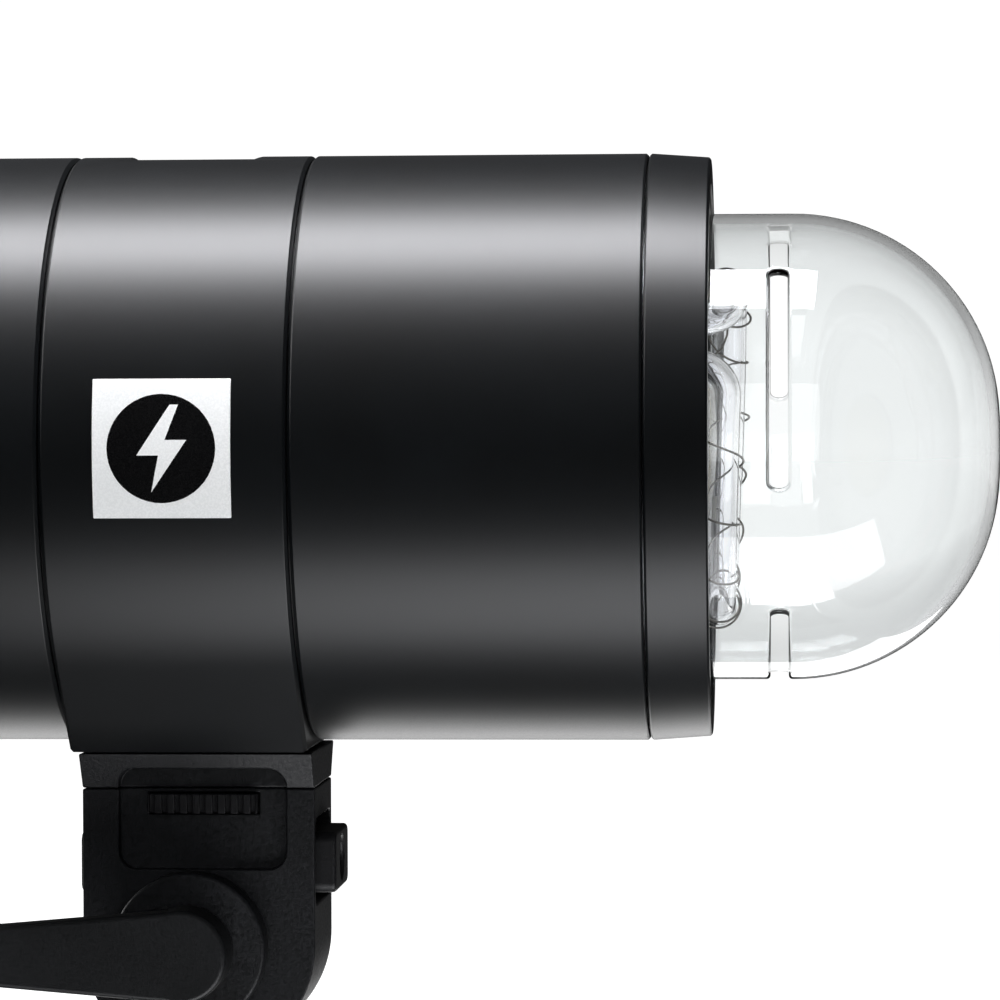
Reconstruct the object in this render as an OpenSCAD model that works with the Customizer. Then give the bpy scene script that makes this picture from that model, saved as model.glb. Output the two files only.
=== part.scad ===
// Monolight studio strobe on a tilting stand bracket.
// Millimetres, +Z up, lamp axis along +X. The origin is the centre of the stand
// socket's mouth, straight under the tilt axle and the middle of the saddle band.
// Lamp pieces are drawn about the lamp axis and lifted by axis_h; bracket pieces
// are drawn about the tilt axle and lifted by pivot_h.

/* [Barrel] */
// Outer diameter of the barrel
body_d = 116; // [116:1:142]
// Wall of the two barrel tubes
tube_wall = 2; // [1.5:0.1:3]
// Length of the front barrel, from the saddle band to the lock ring
front_len = 66.5; // [62:0.5:90]
// Length of the saddle band
band_len = 46.5; // [46.5:0.5:60]
// Length of the rear barrel
rear_len = 92; // [90:1:130]
// Width of the chamfered groove at each seam
seam_w = 0.65; // [0.5:0.05:1.5]
// Clear gap inside each seam
seam_gap = 0.3; // [0.2:0.05:0.5]

/* [Accessory mount] */
// Length of the lock ring
ring_len = 12; // [11:0.5:16]
// How much smaller the lock ring's radius is at its front edge
ring_taper = 0.8; // [0:0.1:1.5]
// Wall of the lock ring
ring_wall = 6; // [5:0.5:7]
// How far the three lips reach in from the lock ring
lip_h = 3; // [2:0.5:4]
// Thickness of the lips
lip_t = 3; // [2:0.5:4]
// Angle that each lip covers
lip_arc = 70; // [50:5:80]

/* [Glass dome] */
// Outer diameter of the dome
dome_d = 92; // [80:1:93]
// Wall of the dome
dome_wall = 1.8; // [1.5:0.1:3]
// How far the dome stands out of the lock ring
dome_out = 56.5; // [50:0.5:70]
// Radius of the small flat at the dome's tip
dome_flat = 5.5; // [2:0.5:12]
// Width of each vent slot
vent_w = 3.6; // [2:0.2:6]
// Arc of each vent slot about the lamp axis
vent_arc = 57; // [30:1:80]
// How far the slots lie in front of the lock ring
vent_x = 13.2; // [8:0.2:18]

/* [Flash tube] */
// Outer diameter of the quartz tube
tube_d = 7; // [6:0.5:9]
// Wall of the quartz tube
tube_glass = 1; // [0.8:0.1:1.5]
// Clear gap between the tube and the inside of the dome
tube_clear = 9.2; // [8:0.1:11]
// How far the ring's centre lies in front of the lock ring
tube_x = 2.2; // [1:0.2:6]
// Radius of the bend from the ring into each leg
elbow_r = 6; // [5:0.5:8]
// Clear gap between the two legs
leg_space = 5.5; // [5:0.25:8]
// Direction of the gap between the legs, up from the near side
leg_turn = 40; // [0:5:90]
// Diameter of the trigger wire
wire_d = 0.5; // [0.4:0.05:0.8]

/* [Saddle and shoe] */
// Thickness of the saddle band's wall
band_wall = 7; // [6:0.5:9]
// Width of the pedestal's foot
pedestal_w = 44; // [40:1:50]
// Length of the shoe and tilt block
base_len = 45.8; // [44:0.1:48]
// How far forward of the tilt axle the shoe and block are centred
base_x = 1.1; // [0:0.1:1.5]
// Height of the shoe
shoe_h = 7; // [6:0.5:9]
// How far the pedestal reaches below the barrel
pedestal_drop = 1.2; // [1:0.1:4]
// Length of the milled flat on top of the band
flat_len = 24; // [18:1:30]
// Depth of the milled flat
flat_depth = 1.2; // [1:0.1:2]
// Side of the square badge
badge_side = 26; // [20:1:30]

/* [Tilt head] */
// Width of the tilt block
block_w = 32; // [32:1:36]
// Drop from the shoe's foot to the tilt axle
axle_drop = 31; // [31:0.5:40]
// Diameter of the tilt axle
axle_d = 8; // [6:0.5:10]
// Thickness of each fork cheek
cheek_t = 7; // [6:0.5:10]
// Radius of the fork cheeks
cheek_r = 15; // [14:0.5:17]
// Bore for the umbrella shaft
umbrella_bore = 8.3; // [7:0.1:9]
// Bore for the stand spigot
socket_bore = 16.2; // [16.1:0.1:16.6]
// Depth of the stand socket
socket_depth = 38; // [32:1:50]
// Wall around the stand socket
socket_wall = 5; // [4:0.5:8]
// Length of the tilt lever from the axle
lever_len = 42; // [34:1:43]

/* [Rear cover] */
// Length of the rear cover
cover_len = 12; // [11:0.5:16]
// Depth of the panel inside the rear rim
panel_recess = 4; // [3:0.5:5]
// Thickness of the panel
panel_t = 3; // [2.5:0.5:4]
// Diameter of the control dial
dial_d = 20; // [18:1:21]
// Reach of the handle behind the rear rim
handle_reach = 34; // [28:1:45]

/* [Hidden] */
$fn = 96;
fit = 0.1;          // clearance where one fixed piece seats in another
run = 0.06;         // radial clearance of a turning fit
face_gap = 0.3;     // gap between faces that slide past each other

r0 = body_d / 2;
r_in = r0 - tube_wall;
x_band = band_len / 2;
x_ring = x_band + front_len;
x_face = x_ring + ring_len;
x_rear = -x_band - rear_len;
x_back = x_rear - cover_len;
x_panel = x_back + panel_recess;
x_inside = x_panel + panel_t;

ring_in = r0 - ring_wall;
ring_edge = 0.4;      // bevel at the lock ring's front edge
plate_x = x_face - 11;
plate_t = 4;
neck_r = ring_in - run;
neck_end = x_face - 6.2;
dome_r = dome_d / 2;
dome_foot = plate_x + 1;
neck_in = dome_r + 1.2;
dome_shoulder_r = dome_r - dome_flat;
dome_in = dome_r - dome_wall;
ring_turn = 30;       // how far the lock ring turns
pin_r = 1.5;
pin_slot = 2 * pin_r + 0.4;
pin_x = (x_ring + neck_end) / 2;
pin_reach = 2;        // how far the pins stand into the ring's slots

tube_r = tube_d / 2;
tube_ring_r = dome_in - tube_clear - tube_r;
tube_tilt = 1.8;
ring_plane = x_face + tube_x;
leg_reach = norm([tube_ring_r, elbow_r]);
leg_gap = 2 * (asin((tube_d + leg_space) / 2 / leg_reach) + atan(elbow_r / tube_ring_r));
leg_angles = [leg_turn - leg_gap / 2, leg_turn + leg_gap / 2];
leg_start = plate_x + 2;
post_ring = tube_ring_r - 6.5;
sink_clear = 5.5;
sink_r = tube_ring_r - sink_clear;

shoe_top = r0 + pedestal_drop + 0.4;
shoe_foot = shoe_top + shoe_h;
block_top = shoe_foot + 0.2;
axle_depth = shoe_foot + axle_drop;
umbrella_depth = shoe_foot + 15;
block_round = base_len / 2;
fork_gap = block_round + base_x + 1.6;
fork_base = 8;
pivot_h = fork_gap + fork_base + socket_depth;
axis_h = pivot_h + axle_depth;
cheek_in = block_w / 2 + 1.2;
cheek_out = cheek_in + cheek_t;
socket_r = socket_bore / 2 + socket_wall;
axle_r = axle_d / 2;

pocket_x = base_x + 0.8;
pocket_w = 33;
pocket_depth = 2;
pocket_top = shoe_top + 3;
pocket_foot = umbrella_depth + 1;
pocket_floor = block_w / 2 - pocket_depth;
tongue_w = 12;
tongue_len = 24;
tongue_h = 7;
notch = 1.6;
latch_t = 1.8;
latch_gap = 0.2;
cover_t = 0.8;
latch_wall = pocket_floor - 2;
button_w = 21.5;
button_stroke = 2;
latch_top = block_top + cover_t + latch_gap;
latch_foot = latch_top + 2 * latch_t + latch_gap;
bush_w = 24;
bush_h = 12;
bush_out = 3.8;
recess_d = 3;

thumb_x = base_x + 16.5;
thumb_r = 2.9;
thumb_tip = umbrella_bore / 2 + 0.4;
screw_r = 3.9;
clamp_h = socket_depth / 2;
pad_r = 4.5;
pad_t = 3;
pad_tip = -socket_bore / 2 - 0.4;
boss_r = 8;
boss_out = socket_r + 5;
lever_r = 9;
hub_len = 12;

cap_d = 38;
cap_len = 78;
cap_x = -11;          // middle of the capacitors
cap_ring = r0 - band_wall - 3 - cap_d / 2;
plate_gap = 30;       // between the two plates that hold the capacitors
charger_x = x_band + 16;

display_w = 46;
display_h = 22;
display_z = 19;
key_w = 9.5;
key_h = 5;
key_z = 2.5;
key_pitch = 12.5;
key_proud = 1.2;
key_lip = 1;
side_key_d = 9;
side_key_y = 25;
side_key_z = -10;
dial_z = -13.5;
dial_proud = 9;
dial_gap = 1.2;
shaft_r = 3;
inlet_w = 44;
inlet_h = 22;
inlet_z = inlet_h - 0.5 - r0;
inlet_deep = 18;
socket_y = -7.5;
socket_w = 24.4;
socket_h = 17;
rocker_y = 14.5;
rocker_w = 11;
rocker_h = 15;
rocker_pin = 1.2;
rocker_x = x_panel + 4;
jack_y = -29;
jack_z = -27;
jack_bore = 3.6;
jack_deep = 14;
eye_z = r0 - 10;
eye_r = 3.5;
handle_y = 30;
handle_z = 38;
handle_r = 4.5;
handle_bend = 10;
grip_r = 7.5;
grip_len = 38;
fan_side = 70;
fan_t = 15;
fan_x = x_inside + 25;
board_x = x_inside + 7;
board_t = 1.6;
skirt_len = 8;
skirt_wall = 3;
led_r = 14;
screw_shank = 1.5;

// ---------- shared shapes ----------

module lamp() { translate([0, 0, axis_h]) children(); }

module pivot() { translate([0, 0, pivot_h]) children(); }

// Revolves a profile drawn as (radius, x) about the X axis.
module lathe() { rotate([0, 90, 0]) rotate_extrude() children(); }

// A bar along X from x1 to x2.
module rod_x(r, x1, x2) { translate([x1, 0, 0]) rotate([0, 90, 0]) cylinder(r = r, h = x2 - x1); }

// A bar along Y from y1 to y2.
module rod_y(r, y1, y2) { translate([0, y1, 0]) rotate([-90, 0, 0]) cylinder(r = r, h = y2 - y1); }

// A ring about the X axis.
module ring_x(r_out, r_hole, x1, x2) {
    difference() {
        rod_x(r_out, x1, x2);
        rod_x(r_hole, x1 - 1, x2 + 1);
    }
}

// Turns what is drawn at the near side (-Y) up about the lamp axis.
module at_angle(a) { rotate([-a, 0, 0]) children(); }

// Part of a ring about the X axis, centred on the near side.
module arc_x(r1, r2, x1, x2, arc) {
    rotate([0, 90, 0]) rotate([0, 0, -90 - arc / 2]) rotate_extrude(angle = arc)
        translate([r1, x1]) square([r2 - r1, x2 - x1]);
}

// A box given by its low and high corners.
module block(low, high) { translate(low) cube(high - low); }

// A box centred on Y and Z, from x1 to x2.
module bar_x(w, h, x1, x2) { translate([x1, -w / 2, -h / 2]) cube([x2 - x1, w, h]); }

// A rounded rectangle in Y and Z, standing from x1 to x2.
module plate_x_dir(w, h, r, x1, x2) {
    translate([x1, 0, 0]) rotate([90, 0, 90]) linear_extrude(x2 - x1) rounded_square(w, h, r);
}

module rounded_square(w, h, r) {
    union() {
        square([w - 2 * r, h], center = true);
        square([w, h - 2 * r], center = true);
        for (sx = [-1, 1], sy = [-1, 1]) translate([sx * (w / 2 - r), sy * (h / 2 - r)]) circle(r);
    }
}

// Draws an outline given in (y, z) and stretches it from x1 to x2.
module along_x(x1, x2) { translate([x1, 0, 0]) rotate([90, 0, 90]) linear_extrude(x2 - x1) children(); }

// Draws an outline given in (x, z) and stretches it from y1 to y2.
module along_y(y1, y2) { translate([0, y2, 0]) rotate([90, 0, 0]) linear_extrude(y2 - y1) children(); }

function unit(v) = v / norm(v);
// Corners of one ring of a swept wire: centre p, tangent t.
function wire_ring(p, t, r, n) =
    let (u = unit(cross(t, abs(t[0]) > 0.8 ? [0, 0, 1] : [1, 0, 0])), v = unit(cross(t, u)))
    [for (k = [0 : n - 1]) p + r * (cos(360 * k / n) * u + sin(360 * k / n) * v)];

// Sweeps a round wire of radius r with n sides along the points.
module sweep(points, r, n = 6) {
    m = len(points);
    corners = [for (i = [0 : m - 1])
        each wire_ring(points[i], unit(points[min(i + 1, m - 1)] - points[max(i - 1, 0)]), r, n)];
    sides = [for (i = [0 : m - 2], k = [0 : n - 1])
        let (a = i * n + k, b = i * n + (k + 1) % n)
        each [[a, b + n, b], [a, a + n, b + n]]];
    caps = [[for (k = [0 : n - 1]) k], [for (k = [n - 1 : -1 : 0]) (m - 1) * n + k]];
    polyhedron(corners, concat(sides, caps));
}

// ---------- barrel ----------

// A tube from x1 to x2 whose outer edges are chamfered by c1 (at x1) and c2 (at x2).
module barrel(wall, x1, x2, c1, c2) {
    lathe() polygon([
        [r0 - wall, x1], [r0 - c1, x1], [r0, x1 + c1], [r0, x2 - c2], [r0 - c2, x2], [r0 - wall, x2]]);
}

module front_barrel() {
    color("#2a2a2c") lamp() barrel(tube_wall, x_band + seam_gap, x_ring - face_gap, seam_w, 0.4);
}

module rear_barrel() {
    color("#2a2a2c") lamp() difference() {
        barrel(tube_wall, x_rear + seam_gap, -x_band - seam_gap, 0.4, seam_w);
        cover_screw_places() screw_hole();
    }
}

// The pedestal's outline in (y, z): its walls leave the band on a tangent.
module pedestal_outline() {
    foot = r0 + pedestal_drop;
    reach = norm([pedestal_w / 2, foot]);
    meet = atan2(pedestal_w / 2, foot) + acos(r0 / reach);
    y = r0 * sin(meet);
    z = -r0 * cos(meet);
    polygon([[-pedestal_w / 2, -foot], [pedestal_w / 2, -foot], [y, z], [-y, z]]);
}

module saddle_band() {
    spigot = 7;
    color("#262628") lamp() difference() {
        union() {
            barrel(band_wall, -x_band, x_band, seam_w, seam_w);
            for (side = [-1, 1]) scale_x(side) ring_x(r_in - fit, r_in - 4, x_band - 1, x_band + spigot);
            difference() {
                along_x(-x_band, x_band) pedestal_outline();
                rod_x(r0 - band_wall, -x_band - 1, x_band + 1);
            }
        }
        block([-flat_len / 2, -r0, r0 - flat_depth], [flat_len / 2, r0, r0 + 1]);
        shoe_screw_places() translate([0, 0, -r0 - pedestal_drop - 1])
            cylinder(r = screw_shank + fit, h = 7.5);
        badge_seat(fit);
        window_slab(fit);
    }
}

// Mirrors a piece front to back when side is -1.
module scale_x(side) { mirror([side < 0 ? 1 : 0, 0, 0]) children(); }

// The slab that the antenna window fills in the milled flat, grown by c.
module window_slab(c) {
    x = flat_len / 2 - 2.4 + c;
    y = 8 + c;
    block([-x, -y, r0 - flat_depth - 1.2], [x, y, r0 - flat_depth + 0.25]);
}

module antenna_window() { color("#3a3a3d") lamp() window_slab(0); }

// The square patch of the band's skin that the badge fills, grown by c.
module badge_seat(c) {
    half = badge_side / 2 + c;
    intersection() {
        ring_x(r0 + 0.4 - c, r0 - 0.9 - c, -half, half);
        block([-half, -r0 - 1, -half], [half, 0, half]);
    }
}

module badge() { color("#f2f2f2") lamp() badge_seat(0); }

// ---------- accessory mount ----------

module lock_ring() {
    lip_x = x_face - lip_t;
    slot_deep = 2.4;
    color("#242426") lamp() difference() {
        union() {
            lathe() polygon([
                [ring_in, x_ring], [r0 - 0.4, x_ring], [r0, x_ring + 0.4],
                [r0 - ring_taper, x_face - ring_edge], [r0 - ring_taper - ring_edge, x_face],
                [ring_in, x_face]]);
            for (k = [0 : 2]) at_angle(210 + 120 * k)
                arc_x(ring_in - lip_h, ring_in + 1, lip_x, x_face - 0.4, lip_arc);
        }
        for (k = [0 : 2]) at_angle(30 + 120 * k + ring_turn / 2)
            arc_x(ring_in - 1, ring_in + slot_deep,
                pin_x - pin_slot / 2, pin_x + pin_slot / 2, ring_turn + 6);
    }
}

module pin_places() { for (k = [0 : 2]) at_angle(30 + 120 * k) translate([pin_x, 0, 0]) children(); }

module ring_guide_pins() {
    color("#c8c8c8") lamp() pin_places() rod_y(pin_r, -ring_in - pin_reach, -neck_in - 1);
}

module front_flange() {
    color("#8d8f92") lamp() difference() {
        union() {
            rod_x(r_in - fit, plate_x - plate_t, x_ring - face_gap);
            rod_x(neck_r, x_ring - face_gap - 1, neck_end);
        }
        rod_x(neck_in, plate_x, neck_end + 1);
        rod_x(led_r + 2, plate_x - plate_t - 1, plate_x + 1);
        pin_places() rod_y(pin_r + 0.02, -r0, -neck_in + 1);
        leg_places() rod_x(tube_r + 1.4, plate_x - plate_t - 1, plate_x + 1);
        for (k = [0 : 11]) at_angle(k * 30 + 15) translate([0, 5 - dome_r, 0])
            rod_x(3, plate_x - plate_t - 1, plate_x + 1);
    }
}

module reflector_plate() {
    color("#f4f4f2") lamp() difference() {
        rod_x(dome_in - 9, plate_x, plate_x + 1);
        rod_x(led_r + 1, plate_x - 1, plate_x + 2);
        leg_places() rod_x(tube_r + 2.6, plate_x - 1, plate_x + 2);
        at_angle(leg_turn) translate([0, -post_ring, 0]) rod_x(1.6, plate_x - 1, plate_x + 2);
    }
}

// ---------- glass dome ----------

// Half of the dome's section as (radius, x), drawn in by t.
module dome_section(t) {
    tip = x_face + dome_out;
    r = dome_shoulder_r - t;
    translate([0, dome_foot - 1]) square([dome_r - t, tip - dome_shoulder_r - dome_foot + 1]);
    translate([0, dome_foot]) square([dome_flat, tip - t - dome_foot]);
    intersection() {
        translate([dome_flat, tip - dome_shoulder_r]) circle(r);
        translate([0, tip - dome_shoulder_r]) square([dome_r, dome_shoulder_r]);
    }
}

module glass_dome() {
    slot_x = x_face + vent_x;
    step = 0.06;
    color([0.85, 0.9, 0.92, 0.3]) lamp() difference() {
        lathe() difference() {
            dome_section(0);
            dome_section(dome_wall);
            square([dome_r + 1, dome_foot]);
        }
        for (k = [0 : 2]) at_angle(18.5 + 120 * k) {
            arc_x(dome_r - 5, dome_r + 5, slot_x - vent_w / 2, slot_x + vent_w / 2, vent_arc);
            for (side = [-1, 1]) at_angle(side * vent_arc / 2)
                translate([slot_x, 0, 0]) rotate([0, side * 90, 0])
                    rod_y(vent_w / 2 - step, -dome_r - 3, -dome_r + 5);
        }
    }
}

module dome_seal() {
    color("#d8d8d6") lamp() difference() {
        ring_x(dome_r + 0.8, dome_in - 0.8, plate_x, dome_foot + 2);
        ring_x(dome_r + 0.02, dome_in - 0.02, dome_foot, dome_foot + 3);
    }
}

// Three spring fingers that press on the dome's skirt from inside.
module dome_springs() {
    foot_r = dome_in - 1.4;
    color("#c9c9c4") lamp() for (k = [0 : 2]) at_angle(78.5 + 120 * k) {
        block([plate_x, -foot_r, -3], [plate_x + 10, -foot_r + 0.5, 3]);
        block([plate_x, -foot_r, -3], [plate_x + 0.5, -foot_r + 6, 3]);
    }
}

// ---------- flash tube ----------

module tube_lean() {
    translate([plate_x, 0, 0]) rotate([0, tube_tilt, 0]) translate([-plate_x, 0, 0]) children();
}

// Places children at the foot of each leg.
module leg_places() {
    for (k = [0, 1]) at_angle(leg_angles[k])
        translate([0, -tube_ring_r, k == 0 ? elbow_r : -elbow_r]) children();
}

// The tube's section: glass with its bore.
module tube_section() {
    difference() {
        circle(tube_r);
        circle(tube_r - tube_glass);
    }
}

// One half of the tube, below the plane that divides the legs: leg, elbow and half the ring.
module half_tube() {
    intersection() {
        at_angle(-leg_gap / 2) {
            translate([ring_plane, 0, 0]) rotate([0, 90, 0]) rotate([0, 0, -90]) rotate_extrude(angle = 180)
                translate([tube_ring_r, 0]) tube_section();
            translate([ring_plane - elbow_r, -tube_ring_r, 0]) rotate([90, 0, 0]) rotate_extrude(angle = 90)
                translate([elbow_r, 0]) tube_section();
            translate([0, -tube_ring_r, elbow_r])
                ring_x(tube_r, tube_r - tube_glass, leg_start, ring_plane - elbow_r);
        }
        block([plate_x, -r0, -r0], [ring_plane + r0, r0, 0]);
    }
}

module flash_tube() {
    color([0.9, 0.92, 0.95, 0.4]) lamp() tube_lean() at_angle(leg_turn)
        for (k = [0, 1]) mirror([0, 0, k]) half_tube();
}

module tube_electrodes() {
    plug_r = tube_r - tube_glass - 0.05;
    color("#9a9a98") lamp() tube_lean() leg_places() {
        rod_x(plug_r, leg_start, leg_start + 3);
        rod_x(1, leg_start + 3, ring_plane - elbow_r - 1);
        rod_x(1, plate_x - plate_t - 5, leg_start);
    }
}

module tube_sockets() {
    color("#ece9e0") lamp() leg_places() difference() {
        rod_x(tube_r + 2.2, plate_x + 1, plate_x + 6);
        rod_x(tube_r + 0.6, leg_start - 0.2, plate_x + 7);
        rod_x(1.6, plate_x, leg_start);
    }
}

// The trigger wire winds round the ring and its end drops to a post.
module trigger_wire() {
    turns = 13;
    steps = 12;
    gap = tube_r + wire_d / 2 + 0.2;
    span = 360 - leg_gap - 12;
    a0 = leg_turn + leg_gap / 2 + 6;
    winding = [for (i = [0 : turns * steps])
        let (a = a0 + span * i / (turns * steps), t = 360 * i / steps, r = tube_ring_r - gap * cos(t))
        [ring_plane + gap * sin(t), -r * cos(a), r * sin(a)]];
    post = [plate_x + 6, -post_ring * cos(leg_turn), post_ring * sin(leg_turn)];
    lead = [post, post + [3, 0, 0], post + [8, 2, 3]];
    color("#8f8f8c") lamp() tube_lean() {
        sweep(concat(lead, winding), wire_d / 2, 5);
        at_angle(leg_turn) translate([0, -post_ring, 0]) rod_x(1.2, plate_x + 0.2, plate_x + 6);
    }
}

// ---------- modelling light and trigger ----------

module modelling_led() {
    color("#e8c840") lamp() {
        rod_x(led_r - 2, plate_x + 0.2, plate_x + 1.4);
        plate_x_dir(2 * led_r - 8, 2 * led_r - 8, 2, plate_x - 1.2, plate_x + 0.2);
    }
}

module led_lens() {
    lens_r = led_r + 4;
    cap_h = lens_r - sqrt(lens_r * lens_r - led_r * led_r);
    color([0.9, 0.92, 0.9, 0.4]) lamp() {
        difference() {
            intersection() {
                rod_x(led_r, plate_x + 1.6, plate_x + 12);
                translate([plate_x + 3 + cap_h - lens_r, 0, 0]) rotate([0, 90, 0]) sphere(lens_r);
            }
            rod_x(led_r - 1.5, plate_x, plate_x + 2);
        }
    }
}

module led_heatsink() {
    core = 12;
    color("#b9bbbe") lamp() {
        rod_x(led_r + 1.8, plate_x - plate_t, plate_x - 1.2);
        difference() {
            rod_x(sink_r, plate_x - plate_t - 20, plate_x - plate_t);
            for (k = [-4 : 4]) translate([0, k * 5.2, 0])
                bar_x(3.2, 80, plate_x - plate_t - 21, plate_x - plate_t - 4);
        }
    }
}

module trigger_coil() {
    color("#5a4030") lamp() at_angle(leg_turn) translate([0, -post_ring - 14, 0]) {
        rod_x(5, plate_x - plate_t - 24, plate_x - plate_t - 6);
    }
}

// ---------- power section ----------

module capacitors() {
    bead = 2;
    color("#20262e") lamp() for (k = [0 : 2]) at_angle(30 + 120 * k) translate([0, -cap_ring, 0]) {
        lathe() difference() {
            translate([0, cap_x - cap_len / 2]) square([cap_d / 2, cap_len]);
            translate([cap_d / 2 + 0.4, cap_x + cap_len / 2 - 6]) circle(bead);
        }
        for (side = [-1, 1]) translate([0, 0, side * 5])
            rod_x(2.5, cap_x + cap_len / 2, cap_x + cap_len / 2 + 4);
    }
}

module capacitor_plates() {
    color("#c8b98a") lamp() for (side = [-1, 1]) difference() {
        rod_x(r0 - band_wall - 0.2, side * plate_gap / 2 - 1.5, side * plate_gap / 2 + 1.5);
        for (k = [0 : 2]) at_angle(30 + 120 * k) translate([0, -cap_ring, 0]) rod_x(cap_d / 2 + fit, -60, 60);
        rod_x(6, -60, 60);
    }
}

module charger_board() {
    color("#1f5a38") lamp() difference() {
        rod_x(r_in - 2, charger_x, charger_x + board_t);
        rod_x(5, charger_x - 1, charger_x + 3);
    }
}

module charger_parts() {
    face = charger_x + board_t;
    color("#4b4038") lamp() {
        block([face, -32, -14], [face + 18, -4, 14]);
        block([face, 6, 4], [face + 14, 34, 26]);
        for (k = [0 : 3]) translate([0, 12 + 7 * k, -18]) rod_x(3, face, face + 14);
        translate([0, -10, -32]) ring_x(9, 4, face, face + 7);
        translate([0, -14, 32]) ring_x(9, 4, face, face + 7);
    }
}

// ---------- fan ----------

module fan_frame() {
    duct = fan_side / 2 - 3;
    color("#1c1c1e") lamp() rod_x(9.5, fan_x + 1, fan_x + fan_t - 5);
    color("#1c1c1e") lamp() difference() {
        plate_x_dir(fan_side, fan_side, 5, fan_x, fan_x + fan_t);
        rod_x(duct, fan_x + 2, fan_x + fan_t + 1);
        for (k = [0 : 3]) at_angle(45 + 90 * k) intersection() {
            ring_x(duct, 14, fan_x - 1, fan_x + 3);
            along_x(fan_x - 1, fan_x + 3) polygon([[-3, 0], [-60, 57], [-60, -57]]);
        }
        for (sy = [-1, 1], sz = [-1, 1]) translate([0, sy * (fan_side / 2 - 5), sz * (fan_side / 2 - 5)])
            rod_x(2, fan_x - 1, fan_x + fan_t + 1);
    }
}

module fan_rotor() {
    tip = fan_side / 2 - 4.2;
    color("#2e2e30") lamp() {
        ring_x(13, 10.5, fan_x + 3.5, fan_x + fan_t - 1.5);
        rod_x(13, fan_x + fan_t - 3, fan_x + fan_t - 1);
        for (k = [0 : 6]) at_angle(k * 360 / 7) intersection() {
            ring_x(tip, 12.5, fan_x + 3.5, fan_x + fan_t - 1);
            translate([fan_x + 8.8, 0, 0]) rotate([0, -38, 0]) block([-1, -60, -7], [1, 0, 7]);
        }
    }
}

// ---------- rear cover ----------

module cover_screw_places() {
    for (k = [0 : 3]) at_angle(45 + 90 * k) translate([x_rear + skirt_len / 2 + 0.5, 0, 0]) children();
}

// A countersunk hole through the barrel's wall at the near side.
module screw_hole() {
    rod_y(screw_shank + fit, -r0 - 1, -r_in + 1);
    translate([0, -r0, 0]) rotate([-90, 0, 0]) cylinder(r1 = 3 + fit, r2 = screw_shank + fit, h = 1.7);
}

module cover_screws() {
    color("#1a1a1b") lamp() cover_screw_places() difference() {
        union() {
            rod_y(screw_shank, -r0 + 0.6, -r_in + skirt_wall + 1);
            translate([0, -r0 + 0.15, 0]) rotate([-90, 0, 0]) cylinder(r1 = 2.85, r2 = screw_shank, h = 1.6);
        }
        along_y(-r0 - 1, -r0 + 1.2) circle(1.1, $fn = 6);
    }
}

// Holes through the rear panel, each grown by c all round.
module panel_holes(c) {
    x1 = x_back - 1;
    x2 = x_inside + 1;
    translate([0, 0, display_z]) bar_x(display_w + 2 * c, display_h + 2 * c, x1, x2);
    for (k = [-1 : 1]) translate([0, k * key_pitch, key_z])
        plate_x_dir(key_w + 2 * c, key_h + 2 * c, 1 + c, x1, x2);
    for (side = [-1, 1]) translate([0, side * side_key_y, side_key_z]) rod_x(side_key_d / 2 + c, x1, x2);
    translate([0, 0, dial_z]) rod_x(shaft_r + c, x1, x2);
    translate([0, 0, inlet_z]) plate_x_dir(inlet_w + 2 * fit, inlet_h + 2 * fit, 2, x1, x2);
    translate([0, jack_y, jack_z]) rod_x(4 + fit, x1, x2);
    translate([0, 0, eye_z]) rod_x(eye_r + fit, x1, x2);
}

module rear_cover() {
    rim = 3;
    color("#1d1d1f") lamp() difference() {
        union() {
            lathe() polygon([
                [r0 - rim, x_back], [r0 - 1.2, x_back], [r0, x_back + 1.2], [r0, x_rear],
                [r_in - fit, x_rear], [r_in - fit, x_rear + skirt_len],
                [r_in - skirt_wall, x_rear + skirt_len], [r_in - skirt_wall, x_panel], [r0 - rim, x_panel]]);
            rod_x(r0 - rim, x_panel, x_inside);
        }
        panel_holes(0.25);
        cover_screw_places() rod_y(screw_shank + 0.02, -r0, -r_in + skirt_wall + 2);
        for (side = [-1, 1], k = [0 : 2]) translate([0, side * (37 + 4.5 * k), 8])
            plate_x_dir(2.4, 34 - 6 * k, 1.1, x_panel - 1, x_inside + 1);
    }
}

module control_board() {
    low = inlet_h / 2 + 2.5;
    color("#1f5a38") lamp() difference() {
        intersection() {
            rod_x(r_in - skirt_wall - 2, board_x, board_x + board_t);
            block([board_x, -r0, inlet_z + low], [board_x + board_t, r0, r0]);
        }
        translate([0, jack_y, jack_z]) rod_x(6, board_x - 1, board_x + 3);
    }
}

module display() {
    color("#0c1418") lamp() translate([0, 0, display_z]) {
        bar_x(display_w, display_h, x_panel + 0.2, x_inside + 0.2);
        bar_x(display_w + 4, display_h + 4, x_inside + 0.2, x_inside + 4);
    }
}

// A key: a cap through the panel, a lip behind it and a stem to its switch.
module key_body(w, h, r) {
    plate_x_dir(w, h, r, x_panel - key_proud, x_inside + 0.3);
    plate_x_dir(w + 1.6, h + 1.6, r + 0.5, x_inside + 0.2, x_inside + 0.2 + key_lip);
    rod_x(1.5, x_inside + 1, board_x - 1.4);
}

module soft_key(k) {
    color("#3c3c40") lamp() translate([0, (k - 2) * -key_pitch, key_z]) key_body(key_w, key_h, 1);
}

module soft_key_1() { soft_key(1); }

module soft_key_2() { soft_key(2); }

module soft_key_3() { soft_key(3); }

module side_key(side, tint) {
    color(tint) lamp() translate([0, side * side_key_y, side_key_z]) {
        rod_x(side_key_d / 2, x_panel - key_proud, x_inside + 0.3);
        rod_x(side_key_d / 2 + 0.9, x_inside + 0.2, x_inside + 0.2 + key_lip);
        rod_x(1.5, x_inside + 1, board_x - 1.4);
    }
}

module test_key() { side_key(1, "#c8501e"); }

module lamp_key() { side_key(-1, "#3c3c40"); }

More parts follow.
